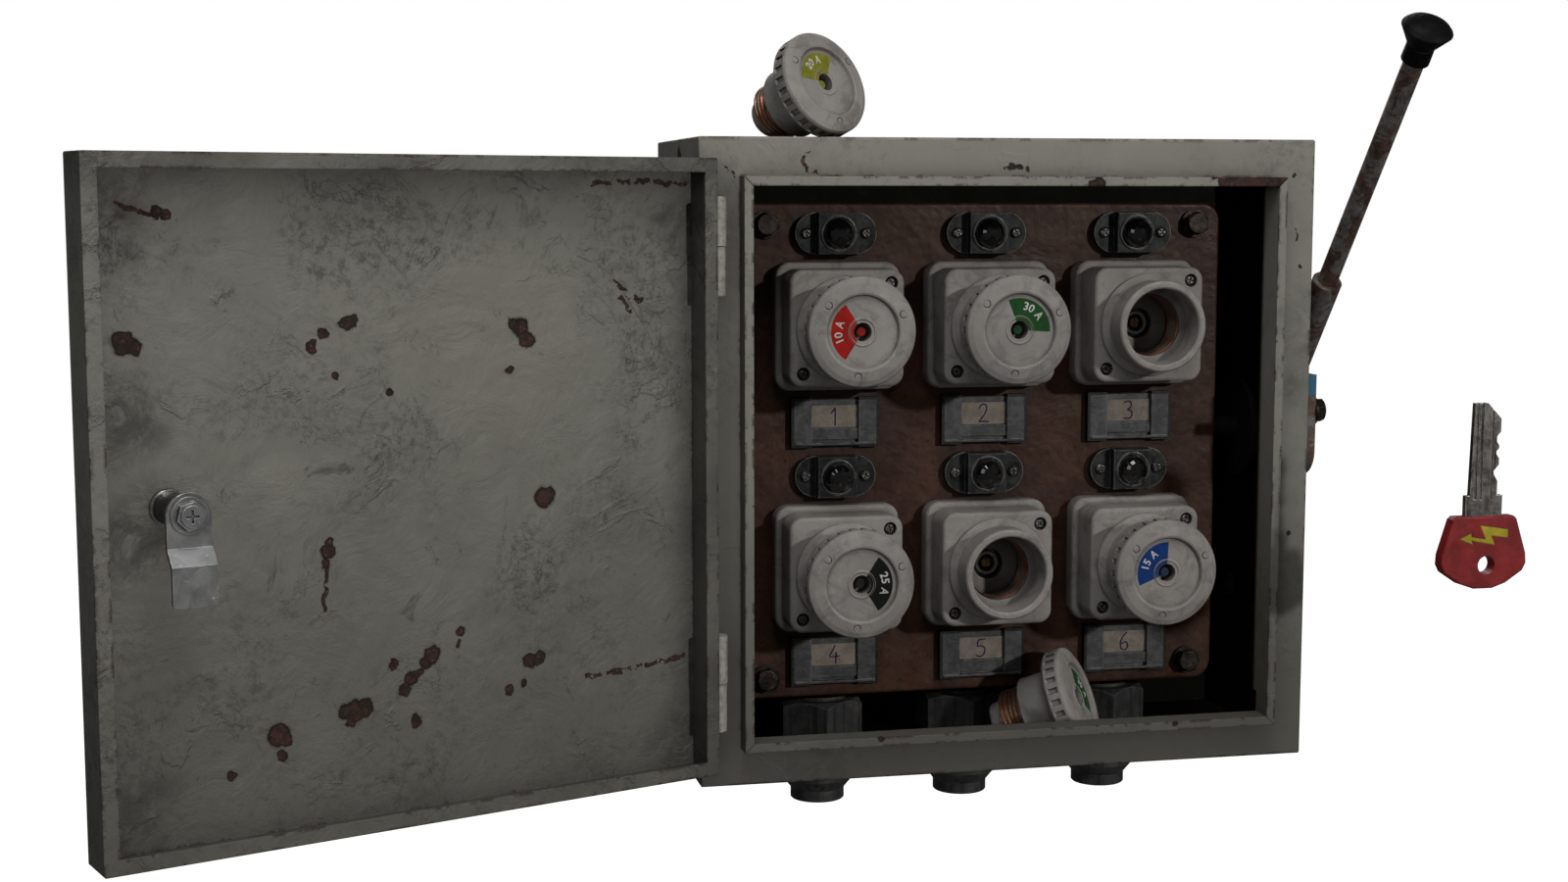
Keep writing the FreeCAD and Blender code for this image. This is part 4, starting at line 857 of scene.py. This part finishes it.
# ---------------------------------------------------------------- floor, lights and camera
FLOOR_HALF, FLOOR_Z = 9, -1.1
floor_mesh = bpy.data.meshes.new("floor")
corners = [(x * FLOOR_HALF, y * FLOOR_HALF, FLOOR_Z) for x, y in ((-1, -1), (1, -1), (1, 1), (-1, 1))]
floor_mesh.from_pydata(corners, [], [(0, 1, 2, 3)])
floor = bpy.data.objects.new("floor", floor_mesh)
bpy.context.scene.collection.objects.link(floor)
pale = Shade("pale_floor")
glow = pale.mix(pale.noise(0.8, 2), (0.98, 0.98, 0.98), (1.0, 1.0, 1.0))
floor_mesh.materials.append(pale.finish((0.8, 0.8, 0.8), 0.9, round_edges=0.0,
                                        **{"Emission Color": glow, "Emission Strength": 1.0}))
floor.visible_diffuse = floor.visible_glossy = False


def area_light(name, spot, target, size, power, colour=(1.0, 1.0, 1.0)):
    data = bpy.data.lights.new(name, "AREA")
    data.shape, data.size, data.energy, data.color = "DISK", size, power, colour
    lamp = bpy.data.objects.new(name, data)
    bpy.context.scene.collection.objects.link(lamp)
    lamp.location = spot
    lamp.rotation_euler = (Vector(target) - Vector(spot)).to_track_quat("-Z", "Y").to_euler()


area_light("fill", (-1.15, -1.45, 0.50), (-0.08, -0.1, 0.0), 0.9, 2.6, (0.97, 0.985, 1.0))
area_light("top", (-0.15, -0.75, 1.05), (-0.08, -0.12, 0.05), 0.7, 5.6)
area_light("back", (0.3, 1.6, 1.0), (0.0, 0.0, 0.0), 1.5, 12.0)

# The key light comes from the upper right. The sheet metal, the lock and the lever's rod don't shade it.
sun = bpy.data.lights.new("key", "SUN")
sun.energy, sun.angle, sun.color = 1.12, math.radians(2.5), (1.0, 0.985, 0.955)
key = bpy.data.objects.new("key", sun)
bpy.context.scene.collection.objects.link(key)
key.rotation_euler = Vector((-0.59, 1.0, -0.31)).to_track_quat("-Z", "Y").to_euler()
CLEAR_OF_KEY = ("cabinet", "door", "lock", "cam", "lever_rod", "lever_knob")
open_to_key = [NODES[name] for name in NODES if name.startswith(CLEAR_OF_KEY)]
blockers = bpy.data.collections.new("key_blockers")
for piece in list(bpy.context.scene.objects):
    if piece.type == "MESH" and piece not in open_to_key:
        blockers.objects.link(piece)
key.light_linking.blocker_collection = blockers

world = bpy.data.worlds.new("studio")
bpy.context.scene.world = world
world.use_nodes = True
tree = world.node_tree
tree.nodes.clear()
seen = tree.nodes.new("ShaderNodeLightPath").outputs["Is Camera Ray"]
mixed = tree.nodes.new("ShaderNodeMixShader")
for index, (strength, name) in enumerate(((0.075, "lit"), (1.0, "seen")), start=1):
    sky = tree.nodes.new("ShaderNodeBackground")
    sky.inputs["Color"].default_value = (1.0, 1.0, 1.0, 1.0)
    sky.inputs["Strength"].default_value = strength
    tree.links.new(sky.outputs[0], mixed.inputs[index])
tree.links.new(seen, mixed.inputs[0])
tree.links.new(mixed.outputs[0], tree.nodes.new("ShaderNodeOutputWorld").inputs["Surface"])
bpy.context.scene.view_settings.view_transform = "Standard"

camera_data = bpy.data.cameras.new("camera")
camera_data.lens, camera_data.sensor_width = 50.0, 36.0
camera = bpy.data.objects.new("camera", camera_data)
bpy.context.scene.collection.objects.link(camera)
camera.location = (-0.32303, -1.08792, 0.12185)
camera.rotation_euler = (math.radians(83.6576), 0.0, math.radians(-12.3232))
bpy.context.scene.camera = camera
